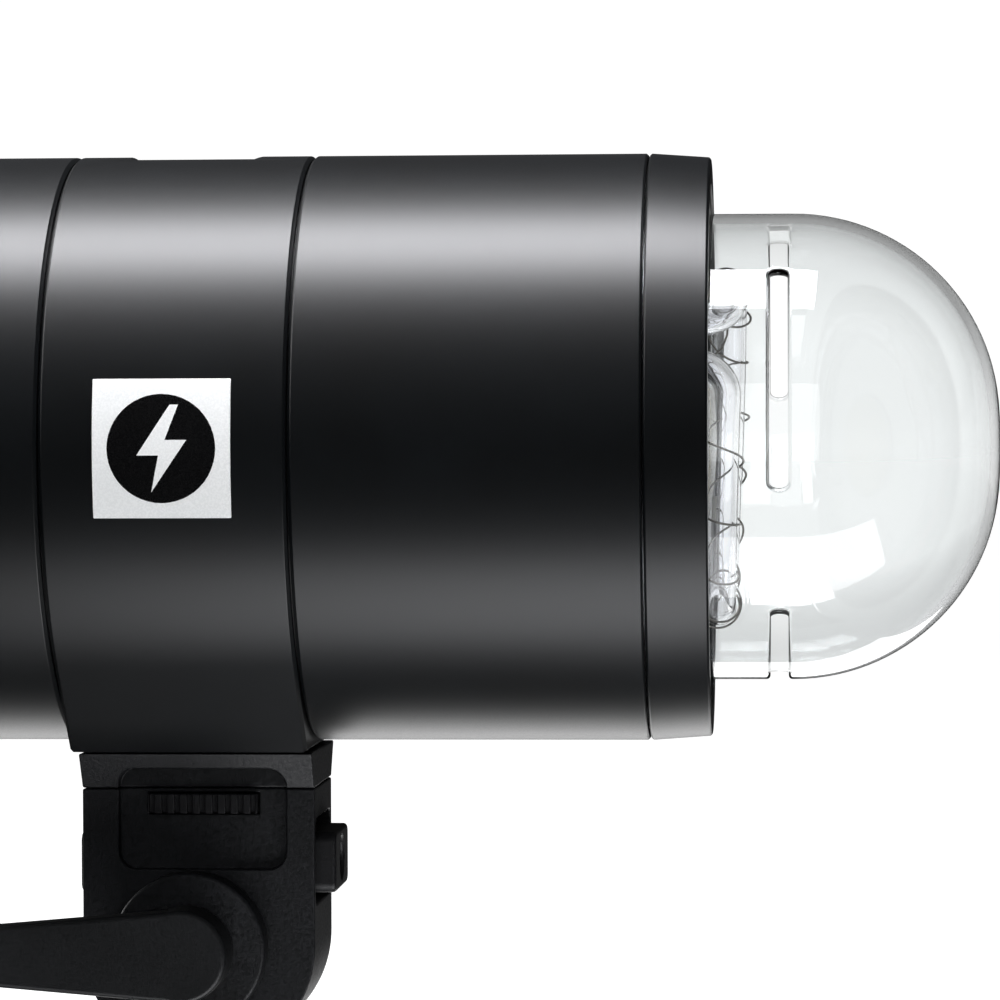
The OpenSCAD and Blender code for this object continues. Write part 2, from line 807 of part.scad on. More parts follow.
module dial_shaft() {
    color("#b8b8ba") lamp() translate([0, 0, dial_z]) {
        rod_x(shaft_r, x_panel - dial_proud + 2, x_inside + 2);
        rod_x(shaft_r + 2.5, x_inside + 0.3, board_x - 1.2);
    }
}

module control_dial() {
    r = dial_d / 2;
    ribs = 30;
    color("#2c2c2f") lamp() translate([0, 0, dial_z]) difference() {
        lathe() polygon([
            [0, x_panel - dial_proud], [r - 1, x_panel - dial_proud], [r, x_panel - dial_proud + 1],
            [r, x_panel - dial_gap], [0, x_panel - dial_gap]]);
        rod_x(shaft_r + run, x_panel - dial_proud + 1.8, x_panel);
        for (k = [0 : ribs - 1]) at_angle(k * 360 / ribs) translate([0, -r - 0.2, 0])
            rod_x(0.7, x_panel - dial_proud + 1.2, x_panel);
    }
}

module rocker_place() { translate([rocker_x, rocker_y, inlet_z]) children(); }

module power_rocker() {
    color("#a01818") lamp() rocker_place() {
        along_y(-rocker_w / 2 + 0.3, rocker_w / 2 - 0.3) union() {
            polygon([[-4.6, 6], [-4.1, 0], [-6, -6], [3, -4], [3, 4]]);
            circle(3);
        }
        rod_y(rocker_pin, -rocker_w / 2 - 1.4, rocker_w / 2 + 1.4);
    }
}

module mains_inlet() {
    lip = 0.4;
    color("#161617") lamp() difference() {
        translate([0, 0, inlet_z]) {
            plate_x_dir(inlet_w, inlet_h, 2, x_panel - lip, x_inside + inlet_deep - 3);
            bar_x(inlet_w - 6, inlet_h - 4, x_inside + inlet_deep - 4, x_inside + inlet_deep);
        }
        translate([0, socket_y, inlet_z]) along_x(x_panel - 2, x_inside + inlet_deep - 3.5) socket_outline();
        rocker_place() {
            along_y(-rocker_w / 2, rocker_w / 2) translate([-8, -rocker_h / 2]) square([14, rocker_h]);
            rod_y(rocker_pin + run, -rocker_w / 2 - 1.6, rocker_w / 2 + 1.6);
        }
        inlet_pin_places() bar_x(2.1, 4.1, x_inside, x_inside + inlet_deep + 5);
    }
}

// The inlet's mouth in (y, z): a rectangle with its two upper corners cut.
module socket_outline() {
    w = socket_w / 2;
    h = socket_h / 2;
    cut = 5;
    polygon([[-w, -h], [w, -h], [w, h - cut], [w - cut, h], [-w + cut, h], [-w, h - cut]]);
}

module inlet_pin_places() {
    translate([0, socket_y, inlet_z]) {
        for (side = [-1, 1]) translate([0, side * 7, -2]) children();
        translate([0, 0, 2]) children();
    }
}

module inlet_pins() {
    color("#c9c9cc") lamp() inlet_pin_places() bar_x(2, 4, x_inside, x_inside + inlet_deep + 4);
}

module sync_jack() {
    color("#b9b9bb") lamp() translate([0, jack_y, jack_z]) difference() {
        union() {
            rod_x(4, x_panel - 0.5, x_inside + jack_deep);
            ring_x(5.6, 3.9, x_inside + 0.1, x_inside + 2.2);
        }
        rod_x(jack_bore / 2, x_panel - 1, x_inside + jack_deep - 1.5);
    }
}

module sensor_eye() {
    color([0.4, 0.05, 0.05, 0.8]) lamp() translate([0, 0, eye_z]) {
        rod_x(eye_r, x_panel, x_inside + 3);
        intersection() {
            translate([x_panel + 1.5, 0, 0]) rotate([0, 90, 0]) sphere(eye_r + 0.3);
            rod_x(eye_r, x_panel - 5, x_panel + 1);
        }
    }
}

module rear_handle() {
    bar_x0 = x_back - handle_reach + handle_r;
    leg_end = bar_x0 + handle_bend;
    color("#202022") lamp() translate([0, 0, handle_z]) {
        for (side = [-1, 1]) mirror([0, side < 0 ? 1 : 0, 0]) {
            translate([0, handle_y, 0]) {
                rod_x(handle_r, leg_end, x_panel);
                rod_x(handle_r + 2, x_panel - 2.5, x_panel);
            }
            translate([leg_end, handle_y - handle_bend, 0]) rotate([0, 0, 90]) rotate_extrude(angle = 90)
                translate([handle_bend, 0]) circle(handle_r);
        }
        translate([bar_x0, 0, 0]) rod_y(handle_r, -handle_y + handle_bend, handle_y - handle_bend);
    }
}

module handle_grip() {
    round_r = 2.5;
    color("#141415") lamp() translate([x_back - handle_reach + handle_r, 0, handle_z])
        rotate([90, 0, 0]) rotate_extrude() difference() {
            union() {
                translate([0, -grip_len / 2 + round_r]) square([grip_r, grip_len - 2 * round_r]);
                translate([0, -grip_len / 2]) square([grip_r - round_r, grip_len]);
                for (side = [-1, 1]) translate([grip_r - round_r, side * (grip_len / 2 - round_r)])
                    circle(round_r);
            }
            translate([0, -grip_len]) square([handle_r + 0.05, 2 * grip_len]);
        }
}

// ---------- shoe and quick release ----------

module shoe_screw_places() {
    for (sx = [-1, 1], sy = [-1, 1]) translate([pocket_x + sx * 18.8, sy * 9, 0]) children();
}

module pinch_pocket(z_low, z_high) {
    for (side = [-1, 1]) translate([pocket_x, side * (pocket_floor + 10), 0])
        along_y(-10, 10) pocket_outline(z_low, z_high);
}

module pocket_outline(z_low, z_high) {
    r = 3.5;
    intersection() {
        translate([0, -(pocket_top + pocket_foot) / 2]) rounded_square(pocket_w, pocket_foot - pocket_top, r);
        translate([-pocket_w, z_low]) square([2 * pocket_w, z_high - z_low]);
    }
}

module shoe() {
    top_w = pedestal_w / 2 - 1;
    foot_w = block_w / 2;
    color("#303033") lamp() difference() {
        union() {
            along_x(base_x - base_len / 2, base_x + base_len / 2)
                polygon([[-foot_w, -shoe_foot], [foot_w, -shoe_foot],
                    [top_w, -shoe_top], [-top_w, -shoe_top]]);
            translate([pocket_x, 0, 0]) block([-tongue_len / 2, -tongue_w / 2, -shoe_foot - tongue_h],
                [tongue_len / 2, tongue_w / 2, -shoe_foot + 1]);
        }
        pinch_pocket(-shoe_foot - 1, -shoe_top);
        latch_notch(1, latch_top);
        latch_notch(-1, latch_top + latch_t + latch_gap);
        shoe_screw_places() {
            translate([0, 0, -shoe_foot - 1]) cylinder(r = 3, h = 4.4);
            translate([0, 0, -shoe_foot]) cylinder(r = screw_shank + fit, h = shoe_h + 1);
        }
    }
}

// The notch in the tongue that a latch edge drops into, on the given side.
module latch_notch(side, depth) {
    mirror([0, side < 0 ? 1 : 0, 0]) translate([pocket_x, 0, 0])
        block([-tongue_len, tongue_w / 2 - notch, -depth - latch_t - latch_gap],
            [tongue_len, tongue_w, -depth + latch_gap]);
}

module shoe_screws() {
    color("#bdbdbf") lamp() shoe_screw_places() difference() {
        union() {
            translate([0, 0, -shoe_foot + 0.4]) cylinder(r = 2.8, h = 2.9);
            translate([0, 0, -shoe_foot + 3]) cylinder(r = screw_shank, h = shoe_h + 2);
        }
        translate([0, 0, -shoe_foot - 1]) cylinder(r = 1.3, h = 2.8, $fn = 6);
    }
}

// ---------- tilt block ----------

module tilt_block() {
    low_x = base_x - base_len / 2;
    high_x = base_x + base_len / 2;
    half = block_w / 2;
    cavity_x = tongue_len / 2 + 4;
    color("#303033") lamp() difference() {
        union() {
            block([low_x, -half, -axle_depth], [high_x, half, -block_top]);
            translate([base_x, 0, -axle_depth]) rod_y(block_round, -half, half);
        }
        pinch_pocket(-pocket_foot - 1, -block_top + 1);
        translate([pocket_x, 0, 0]) {
            block([-cavity_x - 2, -latch_wall - 1, -block_top - cover_t], [cavity_x + 2, latch_wall + 1, 0]);
            block([-cavity_x, -latch_wall, -latch_foot - latch_gap], [cavity_x, latch_wall, 0]);
            block([-tongue_len / 2 - 0.2, -tongue_w / 2 - 0.2, -shoe_foot - tongue_h - 0.3],
                [tongue_len / 2 + 0.2, tongue_w / 2 + 0.2, 0]);
            block([-button_w / 2 - 0.2, -half - 1, -latch_foot - latch_gap],
                [button_w / 2 + 0.2, half + 1, -latch_top + latch_gap]);
        }
        translate([0, 0, -umbrella_depth]) {
            plate_x_dir(bush_w + 2 * fit, bush_h + 2 * fit, 2, low_x - 1, high_x + 1);
            translate([0, 0, 0.2]) plate_x_dir(bush_w + 5, bush_h + 5, 2.5, high_x - recess_d, high_x + 1);
            translate([thumb_x, 0, 0]) rod_y(thumb_r + 0.1, 0, half + 1);
        }
        translate([0, 0, -axle_depth]) rod_y(axle_r + run, -half - 1, half + 1);
    }
}

module latch_cover() {
    cavity_x = tongue_len / 2 + 4;
    color("#a9a9ab") lamp() translate([pocket_x, 0, -block_top - cover_t]) difference() {
        block([-cavity_x - 1.9, -latch_wall - 0.9, 0], [cavity_x + 1.9, latch_wall + 0.9, cover_t]);
        block([-tongue_len / 2 - 0.2, -tongue_w / 2 - 0.2, -1],
            [tongue_len / 2 + 0.2, tongue_w / 2 + 0.2, 3]);
    }
}

// A release button at the near side, whose frame reaches round the tongue; level is 0 or 1.
module release_button(level) {
    z_top = -latch_top - level * (latch_t + latch_gap);
    z_low = z_top - latch_t;
    bar = 3;
    inner = tongue_w / 2 - notch + 0.2;
    tail = inner + bar + 0.6;
    pad_in = tail + 2 * button_stroke + 0.4;
    pad_out = block_w / 2 + 0.3;
    ribs = 8;
    frame_x = tongue_len / 2 + 3.6;
    color("#1b1b1c") lamp() translate([pocket_x, 0, 0]) {
        difference() {
            union() {
                block([-frame_x, -latch_wall + 0.2, z_low], [frame_x, tail, z_top]);
                block([-button_w / 2, -pad_in - 1, z_low], [button_w / 2, -latch_wall + 1, z_top]);
            }
            block([-tongue_len / 2 - 0.6, -tongue_w / 2 - button_stroke - 0.4, z_low - 1],
                [tongue_len / 2 + 0.6, inner, z_top + 1]);
        }
        difference() {
            block([-button_w / 2, -pad_out, -latch_foot], [button_w / 2, -pad_in, -latch_top]);
            for (k = [0 : ribs]) translate([(k - ribs / 2) * 2.5, -pad_out - 0.3, 0])
                block([-0.5, 0, -latch_foot - 1], [0.5, 1, -latch_top + 1]);
        }
    }
}

module release_button_near() { release_button(0); }

module release_button_far() { mirror([0, 1, 0]) release_button(1); }

// A leaf spring between the frame's tail and the far wall of the cavity.
module latch_spring(level) {
    z_top = -latch_top - level * (latch_t + latch_gap) - 0.2;
    tail = tongue_w / 2 - notch + 0.2 + 3 + 0.6;
    t = 0.3;
    wall = latch_wall - 0.05;
    foot = tail + 0.05;
    color("#c9c9c4") lamp() translate([pocket_x, 0, z_top - 1.4]) linear_extrude(1.4) polygon([
        [-10, wall - t], [0, foot], [10, wall - t], [10, wall], [0, foot + t], [-10, wall]]);
}

module latch_spring_near() { latch_spring(0); }

module latch_spring_far() { mirror([0, 1, 0]) latch_spring(1); }

// ---------- umbrella holder ----------

module umbrella_bush() {
    low_x = base_x - base_len / 2 - 1;
    high_x = base_x + base_len / 2 + bush_out;
    color("#18181a") lamp() translate([0, 0, -umbrella_depth]) difference() {
        plate_x_dir(bush_w, bush_h, 2, low_x, high_x);
        rod_x(umbrella_bore / 2, low_x - 1, high_x + 1);
        translate([thumb_x, 0, 0]) rod_y(thumb_r + 0.1, 0, bush_w);
    }
}

module umbrella_pad() {
    color("#b08d4a") lamp() translate([thumb_x, 0, -umbrella_depth]) rod_y(thumb_r, thumb_tip, thumb_tip + 2);
}

module umbrella_knob() {
    knob_in = block_w / 2 + 2.2;
    knob_r = 6;
    ribs = 12;
    color("#1b1b1c") lamp() translate([thumb_x, 0, -umbrella_depth]) {
        rod_y(thumb_r, thumb_tip + 2.05, knob_in + 1);
        difference() {
            rod_y(knob_r, knob_in, knob_in + 8);
            for (k = [0 : ribs - 1]) rotate([0, k * 360 / ribs, 0]) translate([knob_r + 0.4, 0, 0])
                rod_y(0.9, knob_in - 1, knob_in + 9);
        }
    }
}

// ---------- stand bracket ----------

module stand_bracket() {
    arm = 11;
    color("#303033") difference() {
        union() {
            for (side = [-1, 1]) mirror([0, side < 0 ? 1 : 0, 0]) {
                pivot() rod_y(cheek_r, cheek_in, cheek_out);
                block([-arm, cheek_in, pivot_h - fork_gap - fork_base], [arm, cheek_out, pivot_h]);
            }
            block([-arm - 2, -cheek_out, pivot_h - fork_gap - fork_base],
                [arm + 2, cheek_out, pivot_h - fork_gap]);
            cylinder(r = socket_r, h = socket_depth + fork_base / 2);
            translate([0, 0, clamp_h]) rod_y(boss_r, -boss_out, 0);
        }
        pivot() rod_y(axle_r + run, -cheek_out - 1, cheek_out + 1);
        translate([0, 0, -1]) cylinder(r = socket_bore / 2, h = socket_depth + 1);
        translate([0, 0, clamp_h]) rod_y(pad_r + run, -socket_r + 1.5, 0);
        translate([0, 0, clamp_h]) rod_y(screw_r + run, -boss_out - 1, 0);
    }
}

module tilt_axle() {
    color("#c2c2c4") pivot() {
        rod_y(axle_r, -cheek_out - hub_len + 3, cheek_out + 1);
        difference() {
            rod_y(axle_r + 3, cheek_out + 0.2, cheek_out + 4);
            along_y(cheek_out + 2, cheek_out + 5) circle(2.9, $fn = 6);
        }
    }
}

module tilt_lever() {
    face = -cheek_out - 0.4;
    arm_y = [face - hub_len, face - hub_len + 6];
    tip_r = 6;
    lean = asin((lever_r - tip_r) / (lever_len - tip_r));
    step = 0.15;
    hub_edge = (lever_r - step) * [-sin(lean), cos(lean)];
    tip_edge = [-lever_len + tip_r, 0] + (tip_r - step) * [-sin(lean), cos(lean)];
    color("#1b1b1c") pivot() difference() {
        union() {
            rod_y(lever_r, arm_y[0], face);
            along_y(arm_y[0], arm_y[1]) union() {
                translate([-lever_len + tip_r, 0]) circle(tip_r);
                polygon([hub_edge, tip_edge, [tip_edge[0], -tip_edge[1]], [hub_edge[0], -hub_edge[1]]]);
            }
        }
        rod_y(axle_r + run, -cheek_out - hub_len + 2.6, 0);
    }
}

module clamp_pad() {
    color("#b08d4a") translate([0, 0, clamp_h]) rod_y(pad_r, pad_tip - pad_t, pad_tip);
}

module clamp_knob() {
    shaft_end = pad_tip - pad_t - 0.05;
    knob_in = -boss_out - 3;
    knob_r = 12;
    lobes = 6;
    color("#1b1b1c") translate([0, 0, clamp_h]) {
        rod_y(screw_r, knob_in - 2, shaft_end);
        rod_y(screw_r + 2.5, knob_in - 2, knob_in);
        difference() {
            rod_y(knob_r, knob_in - 13, knob_in - 1.5);
            for (k = [0 : lobes - 1]) rotate([0, k * 360 / lobes, 0]) translate([knob_r + 2.5, 0, 0])
                rod_y(5, knob_in - 14, knob_in);
        }
    }
}

front_barrel();
saddle_band();
rear_barrel();
antenna_window();
badge();
lock_ring();
front_flange();
ring_guide_pins();
glass_dome();
dome_seal();
dome_springs();
reflector_plate();
flash_tube();
tube_electrodes();
tube_sockets();
trigger_wire();
modelling_led();
led_lens();
led_heatsink();
trigger_coil();
capacitors();
capacitor_plates();
charger_board();
charger_parts();
fan_frame();
fan_rotor();
rear_cover();
cover_screws();
control_board();
display();
soft_key_1();
soft_key_2();
soft_key_3();
test_key();
lamp_key();
dial_shaft();
control_dial();
power_rocker();
mains_inlet();
inlet_pins();
sync_jack();
sensor_eye();
rear_handle();
handle_grip();
shoe();
shoe_screws();
tilt_block();
latch_cover();
release_button_near();
release_button_far();
latch_spring_near();
latch_spring_far();
umbrella_bush();
umbrella_pad();
umbrella_knob();
stand_bracket();
tilt_axle();
tilt_lever();
clamp_pad();
clamp_knob();
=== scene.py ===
"""A studio flash head: black barrel, clear glass dome, quick-release shoe and tilting stand bracket.

Shapes are worked out in millimetres, those of the lamp about its axis, and are set in place in metres when
a piece is made.
"""

import math

import bmesh
import bpy
from mathutils import Matrix, Vector


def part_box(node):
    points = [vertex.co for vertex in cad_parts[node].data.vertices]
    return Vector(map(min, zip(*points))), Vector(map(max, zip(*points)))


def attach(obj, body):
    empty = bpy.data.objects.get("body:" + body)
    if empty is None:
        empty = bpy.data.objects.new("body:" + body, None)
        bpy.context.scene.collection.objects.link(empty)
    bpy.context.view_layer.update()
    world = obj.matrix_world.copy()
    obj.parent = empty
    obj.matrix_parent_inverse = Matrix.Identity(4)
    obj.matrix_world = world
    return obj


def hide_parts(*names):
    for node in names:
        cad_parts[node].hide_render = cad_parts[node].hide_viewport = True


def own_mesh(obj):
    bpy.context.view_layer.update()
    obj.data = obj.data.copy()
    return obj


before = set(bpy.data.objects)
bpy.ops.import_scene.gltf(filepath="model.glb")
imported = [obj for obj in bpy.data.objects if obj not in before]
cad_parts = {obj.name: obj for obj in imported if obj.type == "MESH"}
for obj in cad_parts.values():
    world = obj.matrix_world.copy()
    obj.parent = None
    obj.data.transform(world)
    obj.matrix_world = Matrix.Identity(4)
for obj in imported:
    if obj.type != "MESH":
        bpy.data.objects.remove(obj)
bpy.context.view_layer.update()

MM = 0.001
TURN = {"X": (1, 0, 0), "Y": (0, 1, 0), "Z": (0, 0, 1)}


def lowest(cad_node):
    """The low corner of a CAD node's box in millimetres."""
    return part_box(cad_node)[0] / MM


def highest(cad_node):
    """The high corner of a CAD node's box in millimetres."""
    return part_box(cad_node)[1] / MM


# ---------- sizes in millimetres, as the CAD has them ----------

R0 = (highest("lock_ring").y - lowest("lock_ring").y) / 2      # barrel radius
AXIS_H = (highest("lock_ring").z + lowest("lock_ring").z) / 2  # lamp axis above the stand socket's mouth
X_RING = lowest("lock_ring").x                                 # back and front of the lock ring
X_FACE = highest("lock_ring").x
X_TIP = highest("glass_dome").x
X_BACK = lowest("rear_cover").x
X_COVER = X_BACK + 12.3                                        # where the rear cover meets the barrel
BADGE_HALF = 13
BADGE_MARGIN = 10.25                                           # from the badge to the band's edge
X_BAND = highest("badge").x + BADGE_MARGIN                     # half of the saddle band
SEAM = 0.65                                                    # chamfer at each seam
END_CHAMFER = 0.4                                              # chamfer at the barrel's other ends
SEAM_GAP = 0.3
FACE_GAP = 0.3
TUBE_IN = R0 - 2
BAND_IN = R0 - 7
SPIGOT = 7                                                     # reach of the band's spigots into the tubes
SPIGOT_OUT = TUBE_IN - 0.1
SPIGOT_IN = TUBE_IN - 4
FLAT_HALF = 12                                                 # milled flat on top of the band
FLAT_Z = R0 - 1.2
WINDOW_X, WINDOW_Y = 9.7, 8.1                                  # halves of the window's pocket in the flat
WINDOW_DEPTH = 2.5
PEDESTAL_HALF = 22
PEDESTAL_FOOT = R0 + 1.2
SCREW_HEAD_R = 2.85                                            # cover screws
SCREW_X = lowest("cover_screws").x + SCREW_HEAD_R
SINK_R, SCREW_HOLE_R, SINK_DEPTH = 3.1, 1.6, 1.7
DOME_R = 46
DOME_WALL = 1.8
DOME_FLAT = 5.5                                                # radius of the flat at the tip
DOME_FOOT = lowest("glass_dome").x
SLOT_X = X_FACE + 13.2                                         # vent slots of the dome
SLOT_HALF = 1.8
SLOT_ARC = 57                                                  # degrees
SLOT_TURN = 18.5
RING_STEPS = 216                                               # so that one edge falls on the flat's edge


# ---------- meshes ----------

def on_plane(axis, a, b, t):
    """The point (a, b) of an outline that lies across the axis, t along it."""
    return {"X": (t, a, b), "Y": (a, t, b), "Z": (a, b, t)}[axis]


def close_up(bm):
    """Merges doubles, closes open rims and turns every face outwards."""
    bmesh.ops.remove_doubles(bm, verts=bm.verts, dist=0.0005)
    bmesh.ops.dissolve_degenerate(bm, dist=0.0004, edges=bm.edges)
    rims = [e for e in bm.edges if e.is_boundary]
    if rims:
        bmesh.ops.holes_fill(bm, edges=rims, sides=0)
    bmesh.ops.recalc_face_normals(bm, faces=bm.faces)
    return bm


def lathe(profile, axis="X", steps=96, arc=360.0, start=0.0):
    """Spins a profile of (radius, place along the axis) points about the axis."""
    bm = bmesh.new()
    verts = [bm.verts.new(on_plane(axis, r, 0, t)) for r, t in profile]
    ends_on_axis = profile[0][0] == 0 and profile[-1][0] == 0
    pairs = list(zip(verts, verts[1:])) + ([] if ends_on_axis else [(verts[-1], verts[0])])
    edges = [bm.edges.new(pair) for pair in pairs]
    if start:
        bmesh.ops.rotate(bm, verts=bm.verts, cent=(0, 0, 0),
                         matrix=Matrix.Rotation(math.radians(start), 3, axis))
    bmesh.ops.spin(bm, geom=verts + edges, cent=(0, 0, 0), axis=TURN[axis], dvec=(0, 0, 0),
                   angle=math.radians(arc), steps=steps, use_merge=arc == 360, use_duplicate=False)
    return close_up(bm)


def prism(outline, axis, low, high, corner=0.0, corner_steps=5):
    """Stretches an outline along the axis; corner rounds its corners."""
    bm = bmesh.new()
    bm.faces.new([bm.verts.new(on_plane(axis, a, b, low)) for a, b in outline])
    if corner:
        bmesh.ops.bevel(bm, geom=list(bm.verts), offset=corner, segments=corner_steps, profile=0.5,
                        affect="VERTICES", material=-1)
    made = bmesh.ops.extrude_face_region(bm, geom=list(bm.faces))["geom"]
    moved = [v for v in made if isinstance(v, bmesh.types.BMVert)]
    bmesh.ops.translate(bm, verts=moved, vec=Vector(TURN[axis]) * (high - low))
    return close_up(bm)


def rectangle(a1, a2, b1, b2):
    """The outline of a rectangle."""
    return [(a1, b1), (a2, b1), (a2, b2), (a1, b2)]


def round_off(bm, width, segments=2, sharper=25, where=None):
    """Bevels the edges that are sharper than that many degrees, and lie where the test allows."""
    def wanted(e):
        if not e.is_manifold or e.calc_face_angle(0) < math.radians(sharper):
            return False
        return where is None or where((e.verts[0].co + e.verts[1].co) / 2)

    edges = [e for e in bm.edges if wanted(e)]
    bmesh.ops.bevel(bm, geom=edges, offset=width, offset_type="OFFSET", segments=segments, profile=0.5,
                    affect="EDGES", clamp_overlap=False, material=-1)
    bmesh.ops.remove_doubles(bm, verts=bm.verts, dist=0.002)
    return bm


def shift(bm, x=0.0, y=0.0, z=0.0):
    bmesh.ops.translate(bm, verts=bm.verts, vec=(x, y, z))
    return bm


def turn(bm, degrees, axis="X"):
    bmesh.ops.rotate(bm, verts=bm.verts, cent=(0, 0, 0),
                     matrix=Matrix.Rotation(math.radians(degrees), 3, axis))
    return bm


def joined(parts):
    """Several meshes as one."""
    whole = bmesh.new()
    for part in parts:
        carrier = bpy.data.meshes.new("carrier")
        part.to_mesh(carrier)
        part.free()
        whole.from_mesh(carrier)
        bpy.data.meshes.remove(carrier)
    return whole


def merged_copy(cad_node):
    """A copy of a CAD node's mesh in millimetres, merged, with each flat face whole."""
    bm = bmesh.new()
    bm.from_mesh(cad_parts[cad_node].data)
    bmesh.ops.scale(bm, vec=(1 / MM,) * 3, verts=bm.verts)
    bmesh.ops.remove_doubles(bm, verts=bm.verts, dist=0.004)
    bmesh.ops.dissolve_degenerate(bm, dist=0.003, edges=bm.edges)
    bmesh.ops.dissolve_limit(bm, angle_limit=math.radians(0.6), use_dissolve_boundaries=False,
                             verts=bm.verts, edges=bm.edges, delimit=set())
    bmesh.ops.recalc_face_normals(bm, faces=bm.faces)
    return bm


def carved(bm, cutters):
    """bm with the cutters' shapes taken out of it."""
    def as_object(name, part):
        mesh = bpy.data.meshes.new(name)
        part.to_mesh(mesh)
        part.free()
        obj = bpy.data.objects.new(name, mesh)
        bpy.context.scene.collection.objects.link(obj)
        return obj

    body = as_object("carve_body", bm)
    tools = [as_object("carve_tool", cutter) for cutter in cutters]
    for tool in tools:
        cut = body.modifiers.new("cut", "BOOLEAN")
        cut.object, cut.operation, cut.solver = tool, "DIFFERENCE", "EXACT"
    bpy.context.view_layer.update()
    evaluated = body.evaluated_get(bpy.context.evaluated_depsgraph_get())
    result = bmesh.new()
    result.from_mesh(evaluated.to_mesh())
    evaluated.to_mesh_clear()
    for obj in [body, *tools]:
        mesh = obj.data
        bpy.data.objects.remove(obj)
        bpy.data.meshes.remove(mesh)
    bmesh.ops.remove_doubles(result, verts=result.verts, dist=0.002)
    bmesh.ops.dissolve_degenerate(result, dist=0.002, edges=result.edges)
    bmesh.ops.dissolve_limit(result, angle_limit=math.radians(0.3), use_dissolve_boundaries=False,
                             verts=result.verts, edges=result.edges, delimit=set())
    return result


def piece(name, bm, body, material, slot, *stands_for, height=0.0, smooth=38):
    """Makes the object, with its place in its mesh, and lets it ride on a body."""
    shift(bm, z=height)
    bmesh.ops.scale(bm, vec=(MM,) * 3, verts=bm.verts)
    mesh = bpy.data.meshes.new(name)
    bm.to_mesh(mesh)
    bm.free()
    for polygon in mesh.polygons:
        polygon.use_smooth = True
    mesh.set_sharp_from_angle(angle=math.radians(smooth))
    mesh.materials.append(material)
    obj = bpy.data.objects.new(name, mesh)
    bpy.context.scene.collection.objects.link(obj)
    weighted = obj.modifiers.new("weighted", "WEIGHTED_NORMAL")
    weighted.keep_sharp = True
    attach(obj, body)
    if stands_for:
        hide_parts(*stands_for)
    return obj


# ---------- materials ----------

def linear(hex_colour):
    """An sRGB hex value as linear RGBA."""
    channels = [int(hex_colour[i:i + 2], 16) / 255 for i in (1, 3, 5)]
    return tuple(c / 12.92 if c <= 0.04045 else ((c + 0.055) / 1.055) ** 2.4 for c in channels) + (1.0,)


def add(tree, kind, inputs=None, **settings):
    """Adds a node with its settings, and sets or links its inputs."""
    made = tree.nodes.new(kind)
    for key, value in settings.items():
        setattr(made, key, value)
    for key, value in (inputs or {}).items():
        if isinstance(value, bpy.types.NodeSocket):
            tree.links.new(value, made.inputs[key])
        else:
            made.inputs[key].default_value = value
    return made


BLOTCH_MM = 25.0  # length over which a surface's colour drifts


def ranged(tree, value, low, high, to_low=0.0, to_high=1.0):
    """The value carried from one range to another, held at both ends."""
    return add(tree, "ShaderNodeMapRange", {"Value": value, "From Min": low, "From Max": high,
                                            "To Min": to_low, "To Max": to_high}).outputs["Result"]


def grained(name, light, dark, grain_mm, depth_mm, rough, metallic=0.0, stretch=(1, 1, 1), detail=3.0,
            **fixed):
    """A surface with a fine grain in its height and gloss, and a slow drift in its colour.

    fixed sets the shader's own sockets, such as Sheen_Weight."""
    material = bpy.data.materials.new(name)
    material.use_nodes = True
    tree = material.node_tree
    shader = tree.nodes["Principled BSDF"]
    place = add(tree, "ShaderNodeTexCoord").outputs["Object"]
    stretched = add(tree, "ShaderNodeMapping", {"Vector": place, "Scale": stretch}).outputs["Vector"]
    grain = add(tree, "ShaderNodeTexNoise", {"Vector": stretched, "Scale": 1 / (grain_mm * MM),
                                             "Detail": detail, "Roughness": 0.6}).outputs["Fac"]
    drift = add(tree, "ShaderNodeTexNoise", {"Vector": place, "Scale": 1 / (BLOTCH_MM * MM),
                                             "Detail": 2.0}).outputs["Fac"]
    both = add(tree, "ShaderNodeMath", {0: grain, 1: drift}, operation="MULTIPLY").outputs[0]
    spread = ranged(tree, both, 0.12, 0.4)
    mix = add(tree, "ShaderNodeMix", {"Factor": spread, 6: linear(dark), 7: linear(light)}, data_type="RGBA")
    gloss = ranged(tree, grain, 0.3, 0.7, *rough)
    bump = add(tree, "ShaderNodeBump", {"Height": grain, "Distance": depth_mm * MM, "Strength": 1.0})
    tree.links.new(mix.outputs[2], shader.inputs["Base Color"])
    tree.links.new(gloss, shader.inputs["Roughness"])
    tree.links.new(bump.outputs["Normal"], shader.inputs["Normal"])
    shader.inputs["Metallic"].default_value = metallic
    for key, value in fixed.items():
        shader.inputs[key.replace("_", " ")].default_value = value
    return material


def clear(name, tint, ior, rough, grain_mm, depth_mm):
    """Clear glass or plastic with a faint ripple in its surface and a drift in its polish."""
    material = bpy.data.materials.new(name)
    material.use_nodes = True
    tree = material.node_tree
    shader = tree.nodes["Principled BSDF"]
    place = add(tree, "ShaderNodeTexCoord").outputs["Object"]
    ripple = add(tree, "ShaderNodeTexNoise", {"Vector": place, "Scale": 1 / (grain_mm * MM),
                                              "Detail": 1.0}).outputs["Fac"]
    gloss = ranged(tree, ripple, 0.3, 0.7, *rough)
    bump = add(tree, "ShaderNodeBump", {"Height": ripple, "Distance": depth_mm * MM, "Strength": 1.0})
    tree.links.new(gloss, shader.inputs["Roughness"])
    tree.links.new(bump.outputs["Normal"], shader.inputs["Normal"])
    shader.inputs["Base Color"].default_value = linear(tint)
    shader.inputs["Transmission Weight"].default_value = 1.0
    shader.inputs["IOR"].default_value = ior
    return material


# Satin powder coat, sprayed thin on aluminium: near black with a faint blue, a broad soft highlight and a
# fine speckle of lighter grains.
powder_coat = grained("satin_powder_coat", "#070a0d", "#020304", 0.35, 0.0015, (0.36, 0.42))
# The same coat on the turned lock ring, a little smoother.
ring_coat = grained("satin_ring_coat", "#070a0d", "#020304", 0.3, 0.0012, (0.35, 0.41))
